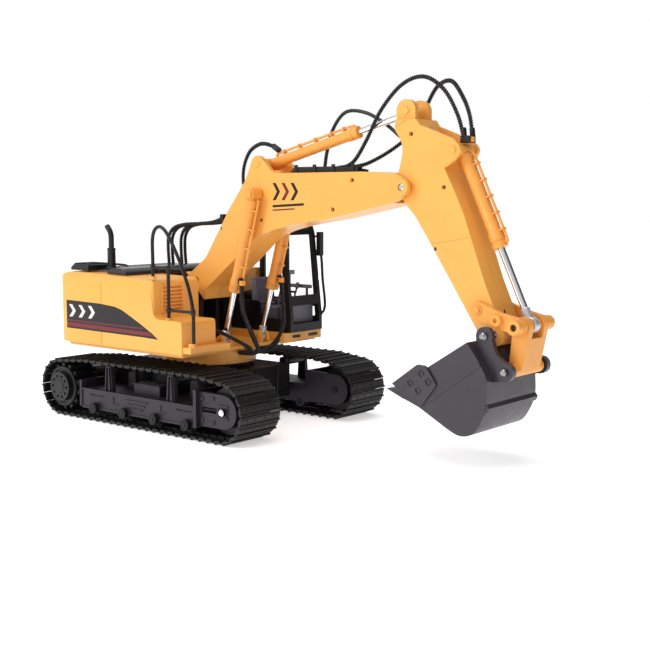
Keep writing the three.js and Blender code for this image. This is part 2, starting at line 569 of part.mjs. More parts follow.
function bucket() {
  const outer = outline([
    [270.4, 84.6], [211, 47], [214, 44], [233, 37.3], [256.7, 24.9, 3], [265.5, 21.2, 6], [276.5, 23.5, 7], [286.6, 41, 8],
    [285.4, 63.3, 3], [280.3, 71.6, 1],
  ]);
  const inner = outline([
    [262, 92], [205, 54], [213.5, 47.2], [234.4, 39.8], [257.8, 27.6, 3], [265.6, 24, 5], [274.8, 25.9, 6], [283.9, 41.6, 7],
    [282.8, 62.4, 3], [277.9, 70.4, 1], [268.4, 83.4],
  ]);
  const shell = cut(alongY(outer, -bucketHalfWidth, bucketHalfWidth), alongY(inner, 2.6 - bucketHalfWidth, bucketHalfWidth - 2.6));
  const stickRoom = cut(box(262, 276, -14, 14, 78.4, 90));
  const ears = sides.map(({ side }) => {
    const plate = outline([[273.5, 80], [272.6, 86], [278.7, 94.6], [284.8, 86.5, 2], [287.5, 76.5, 6], [300.5, 69.5], [295.5, 60.5], [281, 58], [277.5, 71]]);
    const span = band(side, 20.4, 24.4);
    const bore = pin(bucketPivot, 2.6 + play, ...band(side, 19, 25));
    return cut(join(alongY(plate, ...span), pin(bucketPivot, 6.4, ...span), pin(bucketLinkPin, 6.2, ...band(side, 20.4, 25))), bore);
  });
  const teeth = [-25, -12.5, 0, 12.5, 25].map((y) => {
    const tooth = outline([[203, 46.6], [218, 40.6], [220, 44.4], [214, 48.2]]);
    return alongY(tooth, y - 3.5, y + 3.5);
  });
  const cutters = sides.map(({ side }) => {
    const plate = outline([[211.5, 51.6], [220.3, 45], [235.7, 38], [248, 54.2, 2], [240.5, 64.3, 2], [238.5, 66.2, 1], [232.3, 66.6, 1]]);
    return alongY(plate, ...band(side, bucketHalfWidth - 0.5, bucketHalfWidth + 1.6));
  });
  part('bucket', join(cut(shell, stickRoom), ...ears, ...teeth, ...cutters), graphite);
}

// ---------------------------------------------------------------- hoses
function hoses() {
  const rearYs = [-10, -5.5, 4.5, 9];
  const rear = rearYs.map((y) =>
    hose([[-36, y, 122.8], [-37, y, 136], [-36, y, 146], [-30, y * 0.95, 153], [-18, y * 0.85, 156], [0, y * 0.75, 157], [14, y * 0.7, 158.5], [26, y * 0.7, 162]]),
  );
  const rearClip = box(23, 27, -9.5, 9.5, 158.5, 164.5);
  part('rear_hoses', join(...rear, rearClip), rubber);
  const armHose = hose([[45, 7, 181], [35, 7, 186], [34, 7, 200], [41, 6, 213], [54, 3, 219], [66, 0, 219], [75, 0, 216]]);
  const fitting = bar(new THREE.Vector3(73, 0, 217.3), new THREE.Vector3(79, 0, 213.8), 2.2, 8);
  part('arm_hose', join(armHose, fitting), rubber);
  const first = hose([[118, 7, 200], [119.5, 8, 212], [126, 7.5, 229], [139, 6.5, 240.5], [158, 6, 239], [176, 6, 230], [189, 5.5, 221], [201, 5, 214]]);
  const second = hose([[146, -3, 200.6], [154, -3, 203], [164, -4, 216], [180, -5, 240], [198, -5.5, 256], [216, -5.5, 260.5], [232, -5, 251], [242, -3, 234], [247.5, -2.5, 218.5]], 1.25, 20);
  const third = hose([[148, 4, 200.6], [160, 6, 203], [178, 12, 213], [194, 15.5, 226], [204, 15.5, 242], [215, 13, 255], [229, 9, 257.5], [241, 5, 246], [248, 3, 233], [251, 2.5, 218.5]], 1.25, 20);
  const strip = box(114, 150, -4.6, 8.2, 199.2, 201);
  const portBlock = box(245, 252.5, -4, 4, 214.8, 219.5);
  part('stick_hoses', join(first, second, third, strip, portBlock), rubber);
  const near = [
    [58.4, -22.4, 114.5], [59, -22.4, 110], [58.4, -22.4, 103], [60.5, -22.4, 89], [65, -21, 77.5],
    [63, -12.5, 66.5], [58.5, -4, 58.6], [51, -2.6, 55.2], [40.2, -3, 54.5],
  ];
  part('lift_hose_right', hose(near, 1.25, 16), rubber);
  const far = [
    [58.4, 22.4, 113.5], [59.6, 22.4, 108], [60.5, 22.4, 98], [62.5, 21.5, 87], [65.5, 18, 77],
    [66, 12.5, 68.5], [61.5, 6.3, 60.2], [52, 2.8, 55.8], [40.2, 3, 54.5],
  ];
  part('lift_hose_left', hose(far, 1.25, 18), rubber);
}

chassisFrame();
slewRing();
for (const each of sides) {
  trackBelt(each);
  trackFrame(each);
  sprocket(each);
  idler(each);
  driveUnit(each);
  rollerXs.forEach((x, index) => roller(each, x, index));
  carrierXs.forEach((x, index) => carrier(each, x, index));
}
houseShell();
houseDeck();
boomBracket();
cab();
roofItems();
handrail();
innards();
for (const each of sides) {
  boomShell(each);
  liftCylinder(each);
  stickShell(each);
}
boomFittings();
armCylinder();
bucketCylinder();
linkage();
bucket();
hoses();

export default excavator;
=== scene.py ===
"""A radio-controlled toy excavator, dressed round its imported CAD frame.

Lengths are written in millimetres in the machine's own frame: x forward from the slew axis, y to the
machine's left, z up from the ground. at() turns them into the row frame's metres.
"""
import json
import math

import bmesh
import bpy
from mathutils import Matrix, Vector


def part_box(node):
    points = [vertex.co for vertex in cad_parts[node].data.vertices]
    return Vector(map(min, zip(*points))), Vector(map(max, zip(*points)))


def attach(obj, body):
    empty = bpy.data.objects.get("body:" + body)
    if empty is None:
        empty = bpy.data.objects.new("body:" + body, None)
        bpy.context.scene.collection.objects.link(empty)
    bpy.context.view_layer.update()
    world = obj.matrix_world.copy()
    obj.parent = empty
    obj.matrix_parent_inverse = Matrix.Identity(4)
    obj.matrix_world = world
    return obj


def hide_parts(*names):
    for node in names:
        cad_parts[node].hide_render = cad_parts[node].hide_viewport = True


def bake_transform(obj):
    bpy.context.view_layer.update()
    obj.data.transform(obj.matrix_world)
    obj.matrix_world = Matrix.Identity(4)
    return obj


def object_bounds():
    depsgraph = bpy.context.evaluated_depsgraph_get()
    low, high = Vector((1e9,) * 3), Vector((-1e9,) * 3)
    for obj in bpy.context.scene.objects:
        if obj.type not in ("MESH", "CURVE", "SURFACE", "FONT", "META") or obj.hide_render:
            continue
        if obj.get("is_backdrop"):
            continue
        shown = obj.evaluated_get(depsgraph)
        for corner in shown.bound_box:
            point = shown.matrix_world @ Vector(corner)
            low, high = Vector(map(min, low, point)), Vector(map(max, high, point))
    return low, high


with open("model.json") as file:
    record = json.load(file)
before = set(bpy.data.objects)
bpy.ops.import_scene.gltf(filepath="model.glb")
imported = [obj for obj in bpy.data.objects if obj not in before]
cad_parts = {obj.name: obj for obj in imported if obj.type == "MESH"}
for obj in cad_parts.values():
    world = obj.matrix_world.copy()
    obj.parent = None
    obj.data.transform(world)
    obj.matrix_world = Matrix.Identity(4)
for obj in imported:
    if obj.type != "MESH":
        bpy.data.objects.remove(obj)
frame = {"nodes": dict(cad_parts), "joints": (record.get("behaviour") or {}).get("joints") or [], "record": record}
start_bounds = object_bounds()

MM = 0.001
JOINTS = {j["name"]: j for j in frame["joints"]}
SLEW_X = JOINTS["slew"]["pos_m"][0]
BODY = {n: b for b, nodes in frame["record"]["behaviour"]["bodies"].items() for n in nodes}


def at(x, y, z):
    return Vector((x * MM + SLEW_X, y * MM, z * MM))


def pivot(joint):
    """A hinge's place as (x, z) in the machine's frame."""
    p = JOINTS[joint]["pos_m"]
    return ((p[0] - SLEW_X) / MM, p[2] / MM)


BOOM_TIP = pivot("stick_swing")
BUCKET_PIN = pivot("bucket_curl")
LIFT_TOP = pivot("lift_barrel_right_pivot")
ARM_BASE = pivot("arm_barrel_pivot")
BUCKET_BASE = pivot("bucket_barrel_pivot")
ROCKER_PIN = pivot("rocker_pivot")
ROCKER_TIP = pivot("link_pivot")
SPROCKET = pivot("sprocket_right_spin")
IDLER = pivot("idler_right_spin")


def middle(node):
    low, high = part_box(node)
    return (low + high) / 2


# ------------------------------------------------------------------ materials
def plastic(name, colour, roughness, grain=0.25, mottle=0.06, metallic=0.0, coat=0.0, slot=None,
            specular=0.5):
    """Moulded plastic or plated metal: faint colour mottle, uneven gloss and a fine moulding grain."""
    material = bpy.data.materials.new(name)
    material.use_nodes = True
    nodes, links = material.node_tree.nodes, material.node_tree.links
    shader = nodes["Principled BSDF"]
    shader.inputs["Metallic"].default_value = metallic
    shader.inputs["Specular IOR Level"].default_value = specular
    shader.inputs["Coat Weight"].default_value = coat
    shader.inputs["Coat Roughness"].default_value = 0.12
    place = nodes.new("ShaderNodeTexCoord")

    def noise(scale, detail):
        texture = nodes.new("ShaderNodeTexNoise")
        texture.inputs["Scale"].default_value = scale
        texture.inputs["Detail"].default_value = detail
        links.new(place.outputs["Object"], texture.inputs["Vector"])
        return texture.outputs["Fac"]

    def spread(value, low, high):
        ramp = nodes.new("ShaderNodeMapRange")
        ramp.inputs["From Min"].default_value = 0.3
        ramp.inputs["From Max"].default_value = 0.7
        ramp.inputs["To Min"].default_value = low
        ramp.inputs["To Max"].default_value = high
        links.new(value, ramp.inputs["Value"])
        return ramp.outputs["Result"]

    mix = nodes.new("ShaderNodeMix")
    mix.data_type = "RGBA"
    mix.inputs["A"].default_value = (*[c * (1 - mottle) for c in colour], 1)
    mix.inputs["B"].default_value = (*[min(1, c * (1 + mottle)) for c in colour], 1)
    links.new(spread(noise(45, 3), 0, 1), mix.inputs["Factor"])
    links.new(mix.outputs["Result"], shader.inputs["Base Color"])
    links.new(spread(noise(160, 4), roughness - 0.05, roughness + 0.06), shader.inputs["Roughness"])
    bump = nodes.new("ShaderNodeBump")
    bump.inputs["Strength"].default_value = grain
    bump.inputs["Distance"].default_value = 0.00006
    links.new(noise(2600, 2), bump.inputs["Height"])
    links.new(bump.outputs["Normal"], shader.inputs["Normal"])
    material["slot"] = slot or ""
    return material


YELLOW = plastic("yellow_plastic", (0.88, 0.405, 0.075), 0.36, 0.2, 0.03, coat=0.1, slot="yellow",
                 specular=0.4)
YELLOW_PARTS = plastic("yellow_plastic_arm", (0.83, 0.35, 0.06), 0.4, 0.25, 0.04, coat=0.06, slot="yellow",
                       specular=0.4)
BLACK = plastic("black_plastic", (0.007, 0.006, 0.007), 0.4, 0.3, 0.2, slot="black", specular=0.35)
GLOSS_BLACK = plastic("gloss_black_plastic", (0.006, 0.006, 0.009), 0.2, 0.08, 0.1, coat=0.25, slot="black",
                      specular=0.4)
FRAME_GREY = plastic("frame_plastic", (0.022, 0.018, 0.024), 0.4, 0.3, 0.15, slot="graphite", specular=0.35)
BUCKET_GREY = plastic("bucket_plastic", (0.034, 0.028, 0.038), 0.33, 0.3, 0.12, coat=0.12, slot="graphite",
                      specular=0.4)
TRACK = plastic("track_plastic", (0.009, 0.0075, 0.008), 0.45, 0.4, 0.25, slot="belt", specular=0.4)
HOSE = plastic("hose_rubber", (0.007, 0.006, 0.007), 0.42, 0.4, 0.2, slot="hose", specular=0.4)
CHROME = plastic("chrome", (0.84, 0.84, 0.86), 0.08, 0.02, 0.02, metallic=1.0, slot="chrome")
STEEL = plastic("screw_steel", (0.30, 0.29, 0.28), 0.3, 0.1, 0.1, metallic=1.0, slot="chrome")
DARK_STEEL = plastic("dark_screw_steel", (0.045, 0.035, 0.03), 0.35, 0.1, 0.1, metallic=0.8, slot="chrome")
SILVER = plastic("silver_plastic", (0.58, 0.58, 0.60), 0.3, 0.1, 0.05, metallic=0.5, slot="chrome")
SEAT_GREY = plastic("grey_plastic", (0.15, 0.14, 0.18), 0.5, 0.4, 0.1, slot="grey")
BOARD = plastic("board", (0.02, 0.12, 0.04), 0.5, 0.2, 0.2, slot="board")
RED = plastic("decal_red", (0.17, 0.016, 0.022), 0.3, 0.02, 0.04, slot="black", specular=0.3)
DECAL = plastic("decal_black", (0.012, 0.009, 0.011), 0.3, 0.02, 0.04, slot="black", specular=0.3)
PALE = plastic("decal_white", (0.72, 0.70, 0.65), 0.35, 0.02, 0.04, slot="grey")


# ------------------------------------------------------------------ mesh building
def prism(bm, outline, low, high, plane="xz"):
    """An outline in the xz, xy or yz plane, carried from low to high along the third axis."""
    place = {
        "xz": lambda a, b, c: at(a, c, b),
        "xy": lambda a, b, c: at(a, b, c),
        "yz": lambda a, b, c: at(c, a, b),
    }[plane]
    rings = [[bm.verts.new(place(a, b, level)) for a, b in outline] for level in (low, high)]
    count = len(outline)
    faces = [bm.faces.new(rings[0]), bm.faces.new(list(reversed(rings[1])))]
    for i in range(count):
        j = (i + 1) % count
        faces.append(bm.faces.new((rings[0][j], rings[0][i], rings[1][i], rings[1][j])))
    bmesh.ops.recalc_face_normals(bm, faces=faces)


def block(bm, x0, x1, y0, y1, z0, z1):
    prism(bm, [(x0, z0), (x1, z0), (x1, z1), (x0, z1)], y0, y1)


def lathe(bm, base, axis, profile, sides=24, turn=0.0):
    """A closed turned form on the axis through base. profile is (distance along axis, radius) pairs in mm."""
    axis = Vector(axis).normalized()
    side = axis.orthogonal().normalized()
    other = axis.cross(side)
    rings = []
    for along, radius in profile:
        centre = base + axis * along * MM
        ring = []
        for i in range(sides):
            angle = 2 * math.pi * i / sides + turn
            ring.append(bm.verts.new(centre + (side * math.cos(angle)
                                               + other * math.sin(angle)) * radius * MM))
        rings.append(ring)
    faces = [bm.faces.new(list(reversed(rings[0]))), bm.faces.new(rings[-1])]
    for a, b in zip(rings, rings[1:]):
        for i in range(sides):
            j = (i + 1) % sides
            faces.append(bm.faces.new((a[i], a[j], b[j], b[i])))
    bmesh.ops.recalc_face_normals(bm, faces=faces)


def disc(bm, x, z, y0, y1, radius, sides=20, turn=0.0):
    """A short round bar along y at (x, z)."""
    lathe(bm, at(x, y0, z), (0, 1, 0), [(0, radius), (y1 - y0, radius)], sides, turn)


def smooth_path(points, steps):
    """A Catmull-Rom curve through points, as steps + 1 vectors evenly placed by knot."""
    p = [Vector(q) for q in points]
    p = [p[0] * 2 - p[1], *p, p[-1] * 2 - p[-2]]
    out = []
    spans = len(p) - 3
    for i in range(steps + 1):
        t = min(i / steps * spans, spans - 1e-6)
        k = int(t)
        f = t - k
        a, b, c, d = p[k : k + 4]
        out.append(
            0.5 * (2 * b + (c - a) * f + (2 * a - 5 * b + 4 * c - d) * f**2 + (3 * b - a - 3 * c + d) * f**3)
        )
    return out


def sweep(bm, points, radius, sides=12, ribs=0.0, pitch=1.7, steps=90):
    """A tube through points. With ribs, its radius rises and falls every pitch mm, like a wound hose."""
    path = smooth_path([at(*q) for q in points], steps)
    length = sum((b - a).length for a, b in zip(path, path[1:])) / MM
    if ribs:
        path = smooth_path([at(*q) for q in points], int(length / pitch * 4))
    last = len(path) - 1
    up = None
    rings = []
    travelled = 0.0
    for i, centre in enumerate(path):
        tangent = (path[min(i + 1, last)] - path[max(i - 1, 0)]).normalized()
        if up is None:
            up = tangent.orthogonal()
        up = (up - tangent * up.dot(tangent)).normalized()
        other = tangent.cross(up)
        if i:
            travelled += (centre - path[i - 1]).length / MM
        swell = radius + ribs * math.cos(2 * math.pi * travelled / pitch)
        rings.append(
            [
                bm.verts.new(centre + (up * math.cos(2 * math.pi * k / sides)
                                       + other * math.sin(2 * math.pi * k / sides)) * swell * MM)
                for k in range(sides)
            ]
        )
    faces = [bm.faces.new(list(reversed(rings[0]))), bm.faces.new(rings[-1])]
    for a, b in zip(rings, rings[1:]):
        for k in range(sides):
            m = (k + 1) % sides
            faces.append(bm.faces.new((a[k], a[m], b[m], b[k])))
    bmesh.ops.recalc_face_normals(bm, faces=faces)


def shade(mesh, angle=32):
    for face in mesh.polygons:
        face.use_smooth = True
    mesh.set_sharp_from_angle(angle=math.radians(angle))


def soften(obj, width, segments=2):
    """Rounds the sharp edges of obj, as a mould or a file leaves them."""
    bevel = obj.modifiers.new("edges", "BEVEL")
    bevel.width = width * MM
    bevel.segments = segments
    bevel.limit_method = "ANGLE"
    bevel.angle_limit = math.radians(32)
    bevel.harden_normals = True
    bevel.use_clamp_overlap = True


def place(name, bm, material, body=None, edge=0.0, stands_for=()):
    """Makes the object, with its edges softened by edge millimetres, and puts it on its body."""
    mesh = bpy.data.meshes.new(name)
    bm.to_mesh(mesh)
    bm.free()
    shade(mesh)
    mesh.materials.append(material)
    obj = bpy.data.objects.new(name, mesh)
    bpy.context.scene.collection.objects.link(obj)
    if edge:
        soften(obj, edge)
    if body:
        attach(obj, body)
    if stands_for:
        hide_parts(*stands_for)
    return obj


def from_cad(node):
    """The CAD node's solid as a mesh with its flat faces whole."""
    bm = bmesh.new()
    bm.from_mesh(frame["nodes"][node].data)
    bmesh.ops.remove_doubles(bm, verts=bm.verts, dist=1e-6)
    bmesh.ops.dissolve_limit(bm, angle_limit=math.radians(0.6), verts=bm.verts, edges=bm.edges)
    bmesh.ops.recalc_face_normals(bm, faces=bm.faces)
    return bm


def carve(bm, tool):
    """bm less the closed shapes in tool."""
    objects = []
    for name, source in (("carved", bm), ("tool", tool)):
        mesh = bpy.data.meshes.new(name)
        source.to_mesh(mesh)
        source.free()
        obj = bpy.data.objects.new(name, mesh)
        bpy.context.scene.collection.objects.link(obj)
        objects.append(obj)
    target, cutter = objects
    boolean = target.modifiers.new("carve", "BOOLEAN")
    boolean.operation = "DIFFERENCE"
    boolean.solver = "EXACT"
    boolean.use_self = True
    boolean.object = cutter
    bpy.context.view_layer.update()
    result = bmesh.new()
    result.from_object(target, bpy.context.evaluated_depsgraph_get())
    for obj in objects:
        mesh = obj.data
        bpy.data.objects.remove(obj)
        bpy.data.meshes.remove(mesh)
    bmesh.ops.dissolve_limit(result, angle_limit=math.radians(0.6), verts=result.verts, edges=result.edges)
    return result


def dress(node, material, edge=0.5, tool=None, extra=None):
    """The node's own solid with softened edges, carved by tool and with extra shapes added by a function."""
    bm = from_cad(node)
    if tool:
        bm = carve(bm, tool)
    if extra:
        extra(bm)
    return place(node + "_look", bm, material, BODY[node], edge, [node])


def span(side, inner, outer):
    """The two y values of a band inner to outer millimetres out on one side, lowest first."""
    return (inner, outer) if side > 0 else (-outer, -inner)


SIDES = ((-1, "right"), (1, "left"))


# ------------------------------------------------------------------ tracks
PAD_COUNT = 62
TRACK_INNER, TRACK_OUTER = 42.5, 85.0
END_RADIUS = 23.5
TOP_RUN = 49.8


def belt_line():
    """The belt's outer line as closely spaced (x, z) points, starting under the sprocket."""
    points = []

    def arc(cx, start, end):
        for i in range(41):
            a = start + (end - start) * i / 40
            points.append(Vector((cx + END_RADIUS * math.cos(a), END_RADIUS + END_RADIUS * math.sin(a))))

    points.append(Vector((SPROCKET[0], 0)))
    arc(IDLER[0], -math.pi / 2, math.pi / 2 - 0.05)
    points.extend((Vector((72, TOP_RUN)), Vector((-58, TOP_RUN))))
    arc(SPROCKET[0], math.pi / 2 + 0.05, 3 * math.pi / 2)
    return points


def belt_stations():
    """For each pad: its centre on the outer line, the direction of travel and the way out."""
    line = belt_line()
    steps = [(b - a).length for a, b in zip(line, line[1:])]
    total = sum(steps)

    def point(distance):
        distance %= total
        for a, b, step in zip(line, line[1:], steps):
            if distance <= step:
                return a.lerp(b, distance / step if step else 0)
            distance -= step
        return line[-1]

    pitch = total / PAD_COUNT
    for i in range(PAD_COUNT):
        ends = point((i - 0.5) * pitch), point((i + 0.5) * pitch)
        along = (ends[1] - ends[0]).normalized()
        yield point(i * pitch), along, Vector((along.y, -along.x)), pitch


def track_belt(side, label):
    bm = bmesh.new()
    bolts = bmesh.new()
    low, high = span(side, TRACK_INNER, TRACK_OUTER)
    centre = (low + high) / 2
    for spot, along, out, pitch in belt_stations():

        def slab(u0, u1, w0, w1, y0, y1, chamfer=0.0):
            corners = [(u0, w0), (u1, w0), (u1 - chamfer, w1), (u0 + chamfer, w1)]
            outline = [tuple(spot + along * u + out * w) for u, w in corners]
            prism(bm, outline, y0, y1)

        half = pitch / 2
        slab(-half + 0.35, half - 0.5, -2.3, -1.1, low + 0.2, high - 0.2, 0.15)
        slab(-half + 0.5, -half + 2.1, -1.3, -0.02, low + 0.2, high - 0.2, 0.3)
        slab(half - 2.9, half - 1.6, -1.3, -0.5, low + 1.6, high - 1.6, 0.3)
        for edge in (low + 0.2, high - 3.2):
            slab(-half + 0.9, half - 2.4, -3.2, -2.2, edge, edge + 3, 0.1)
        for rail in (-9.5, 6.5):
            slab(-half - 0.4, half - 1.2, -3.8, -2.2, centre + rail, centre + rail + 3, 0.2)
            slab(half - 1.9, half + 0.5, -3.7, -2.2, centre + rail - 1.3, centre + rail + 4.3, 0.2)
        for y in (-13.5, -4.5, 4.5, 13.5):
            base = spot + along * 0.35 - out * 1.2
            lathe(bolts, at(base.x, centre + y, base.y), (out.x, 0, out.y),
                  [(0, 0.75), (0.45, 0.75), (0.6, 0.5)], 6)
    belt = place(f"track_pads_{label}", bm, TRACK, "undercarriage", 0.14, [f"track_belt_{label}"])
    belt.modifiers["edges"].segments = 1
    place(f"track_bolts_{label}", bolts, TRACK, "undercarriage")


ROLLER_XS = [(middle(f"road_roller_right_{i}").x - SLEW_X) / MM for i in (1, 2, 3, 4)]
ROLLER_Z = middle("road_roller_right_1").z / MM
CARRIER_XS = [(middle(f"carrier_roller_right_{i}").x - SLEW_X) / MM for i in (1, 2)]
PLATE_Y = 79.5


def raised(bm, side, outline, height=0.7, base=PLATE_Y):
    """A flat relief on the track frame's outer face."""
    prism(bm, outline, *span(side, base - 0.5, base + height))


def track_frame(side, label):
    cuts = bmesh.new()
    # The tensioner's slot and the idler axle's keyed hole in the end cheek.
    prism(cuts, [(72.5, 21.6), (87.5, 21.6), (87.5, 25.6), (72.5, 25.6)], *span(side, 74, 82))
    disc(cuts, IDLER[0], IDLER[1], *span(side, 74, 82), 5.4, 24)
    for x0, x1 in ((-57, -38), (43, 62)):
        prism(cuts, [(x0, 20.6), (x1, 20.6), (x1 - 1, 19.3), (x0 + 4, 19.3)], *span(side, 78.4, 82))

    def relief(bm):
        for k, (x0, x1) in enumerate(((-13, 13), (-10, 10), (-7, 7))):
            z = 20.8 - 3 * k
            raised(bm, side, [(x0, z), (x1, z), (x1 - 1.4, z - 1.4), (x0 + 1.4, z - 1.4)], 0.8)
        for x in (-28, 27):
            raised(bm, side, [(x, 21), (x + 1, 21), (x + 1, 16), (x + 6, 16), (x + 6, 15), (x, 15)], 0.6)
        prism(bm, [(66.6, 9.2), (69.6, 9.2), (69.6, 37.6), (66.6, 37.6)], *span(side, 74, 83))
        prism(bm, [(-68.5, 9.8), (-66, 9.8), (-66, 31), (-68.5, 31)], *span(side, 56, 80.4))
        prism(bm, [(-66, 8.6), (66.5, 8.6), (66.5, 10.4), (-66, 10.4)], *span(side, 73, 80.2))
        prism(bm, [(-66, 23.6), (66.5, 23.6), (66.5, 24.8), (-66, 24.8)], *span(side, 78, 80.2))
        for x in CARRIER_XS:
            for lean in (-3.2, 2.2):
                outline = [(x + lean, 25), (x + lean + 1, 25), (x + lean * 0.5 + 1, 43), (x + lean * 0.5, 43)]
                prism(bm, outline, *span(side, 77, 78.8))
        for x, z in ((73, 31.5), (84.5, 32.5), (73, 15.5), (84.5, 14.8)):
            lathe(bm, at(x, side * 79, z), (0, side, 0), [(0, 1.7), (1.0, 1.7), (1.5, 1.1)], 6)
        # The tensioner screw lying in its slot.
        for i in range(11):
            lathe(bm, at(73 + i * 1.25, side * 77.2, 23.6), (1, 0, 0), [(0, 1.2), (0.5, 1.6), (1.0, 1.2)], 10)

    dress(f"track_frame_{label}", FRAME_GREY, 0.35, cuts, relief)
    box_top = bmesh.new()
    block(box_top, -14.5, 17, *span(side, 55, 71), 31.8, 33)
    place(f"tool_box_lid_{label}", box_top, FRAME_GREY, "undercarriage", 0.4)
    ring = bmesh.new()
    for z0, z1 in ((18.1, 20.2), (26.8, 28.9)):
        block(ring, 89.5, 99.5, *span(side, 79.3, 80.3), z0, z1)
    place(f"axle_guides_{label}", ring, FRAME_GREY, "undercarriage", 0.3)


def wheels(side, label):
    cuts = bmesh.new()
    x, z = SPROCKET
    for i in range(10):
        a = math.pi * i / 5
        disc(cuts, x + 8.7 * math.cos(a), z + 8.7 * math.sin(a), *span(side, 82.6, 86), 1.15, 10)

    def hub(bm):
        y = side * 84
        lathe(bm, at(x, y, z), (0, side, 0), [(0, 5.6), (0.9, 5.2)], 24)
        lathe(bm, at(x, side * 79.2, z), (0, side, 0),
              [(0, 16.8), (1.6, 16.8), (2.2, 16.2), (2.2, 14.2), (1.2, 13.8)], 48)

    dress(f"sprocket_{label}", BLACK, 0.35, cuts, hub)
    dress(f"idler_{label}", BLACK, 0.4)
    chrome = bmesh.new()
    lathe(chrome, at(IDLER[0], side * 80.5, IDLER[1]), (0, side, 0), [(0, 2.6), (1.5, 2.6), (1.95, 2.0)], 20)
    place(f"idler_axle_{label}", chrome, CHROME, f"idler_{label}")
    bush = bmesh.new()
    lathe(bush, at(IDLER[0], side * 76.5, IDLER[1]), (0, side, 0), [(0, 5), (3, 5), (3.6, 4.4)], 24)
    place(f"idler_bush_{label}", bush, BLACK, f"idler_{label}")
    for i, roller_x in enumerate(ROLLER_XS, 1):

        def cap(bm, roller_x=roller_x):
            for k in range(8):
                a = math.pi * k / 4 + 0.3
                spot = at(roller_x + 3.2 * math.cos(a), side * 83.2, ROLLER_Z + 3.2 * math.sin(a))
                lathe(bm, spot, (0, side, 0), [(-0.5, 1.05), (0.5, 1.05), (0.75, 0.7)], 8)
            lathe(bm, at(roller_x, side * 83, ROLLER_Z), (0, side, 0), [(0, 1.6), (1.0, 1.5)], 6)

        dress(f"road_roller_{label}_{i}", BLACK, 0.3, None, cap)
    for i in (1, 2):
        dress(f"carrier_roller_{label}_{i}", BLACK, 0.4)
    dress(f"drive_unit_{label}", BLACK, 1.0)


def undercarriage():
    for side, label in SIDES:
        track_belt(side, label)
        track_frame(side, label)
        wheels(side, label)

    def ribs(bm):
        for y in (-26, 0, 26):
            block(bm, 51, 53.5, y - 1.5, y + 1.5, 17, 40)
            block(bm, -63, -61.5, y - 1.5, y + 1.5, 17, 40)
        for x in (-30, 0, 30):
            for side, _ in SIDES:
                block(bm, x - 1.2, x + 1.2, *span(side, 38, 42.2), 28, 42)

    dress("chassis_frame", BLACK, 0.8, None, ribs)
    dress("slew_ring", BLACK, 0.15)


# ------------------------------------------------------------------ house
HOUSE_SIDE = 80.6


def house():
    cuts = bmesh.new()
    # Seams between the side doors, the tail casting and the roof.
    for side, _ in SIDES:
        ys = span(side, HOUSE_SIDE - 0.55, HOUSE_SIDE + 2)
        prism(cuts, [(-39, 60), (-38.4, 60), (-38.4, 113), (-39, 113)], *ys)
    # The grille's recess in the face above the stepped box.
    prism(cuts, [(-70, 92.5), (-51, 92.5), (-51, 110.5), (-70, 110.5)], 20.4, 24, "yz")
    # The tail's vent slots.
    for i in range(7):
        z = 82 + 3.4 * i
        prism(cuts, [(-30, z), (30, z), (30, z + 1.6), (-30, z + 1.6)], -96, -93.2, "yz")

    def details(bm):
        for i in range(6):
            z = 93.6 + 2.8 * i
            outline = [(20.2, z), (22.3, z), (22.3, z + 1.0), (20.2, z + 2.2)]
            prism(bm, outline, -70.2, -50.8)
        for y0, y1 in ((-72.4, -70.4), (-50.8, -48.8)):
            prism(bm, [(y0, 90.5), (y1, 90.5), (y1, 112), (y0, 112)], 21.8, 22.8, "yz")

    dress("house_shell", YELLOW, 0.9, cuts, details)

    def deck(bm):
        for side, _ in SIDES:
            block(bm, -70, -40, *span(side, 52, 60), 57.4, 59)
        lathe(bm, at(0, 0, 46), (0, 0, 1), [(0, 38.9), (1.6, 38.9)], 64)

    slots = bmesh.new()
    for y0, y1 in ((44.2, 53.8), (64.2, 75.8)):
        block(slots, 50.4, 52.6, y0, y1, 62.7, 64.9)
    place("slot_inserts", slots, BLACK, "house")

    dress("house_deck", YELLOW, 0.6, None, deck)
    dress("boom_bracket", BLACK, 0.6)
    dress("boom_foot_pin", CHROME, 0.3)
    dress("power_switch", BLACK, 0.3)
    dress("battery_pack", FRAME_GREY, 0.6)
    dress("circuit_board", BOARD, 0.2)
    dress("slew_motor", SEAT_GREY, 0.5)

    bay = bmesh.new()
    block(bay, -23.9, -23.4, -32.8, 32.8, 61.6, 112)
    block(bay, -23.6, -14.9, 32.4, 32.9, 61.6, 112)
    block(bay, -14.9, -14.4, 32.4, 39.6, 67.2, 112)
    place("bay_lining", bay, BLACK, "house")


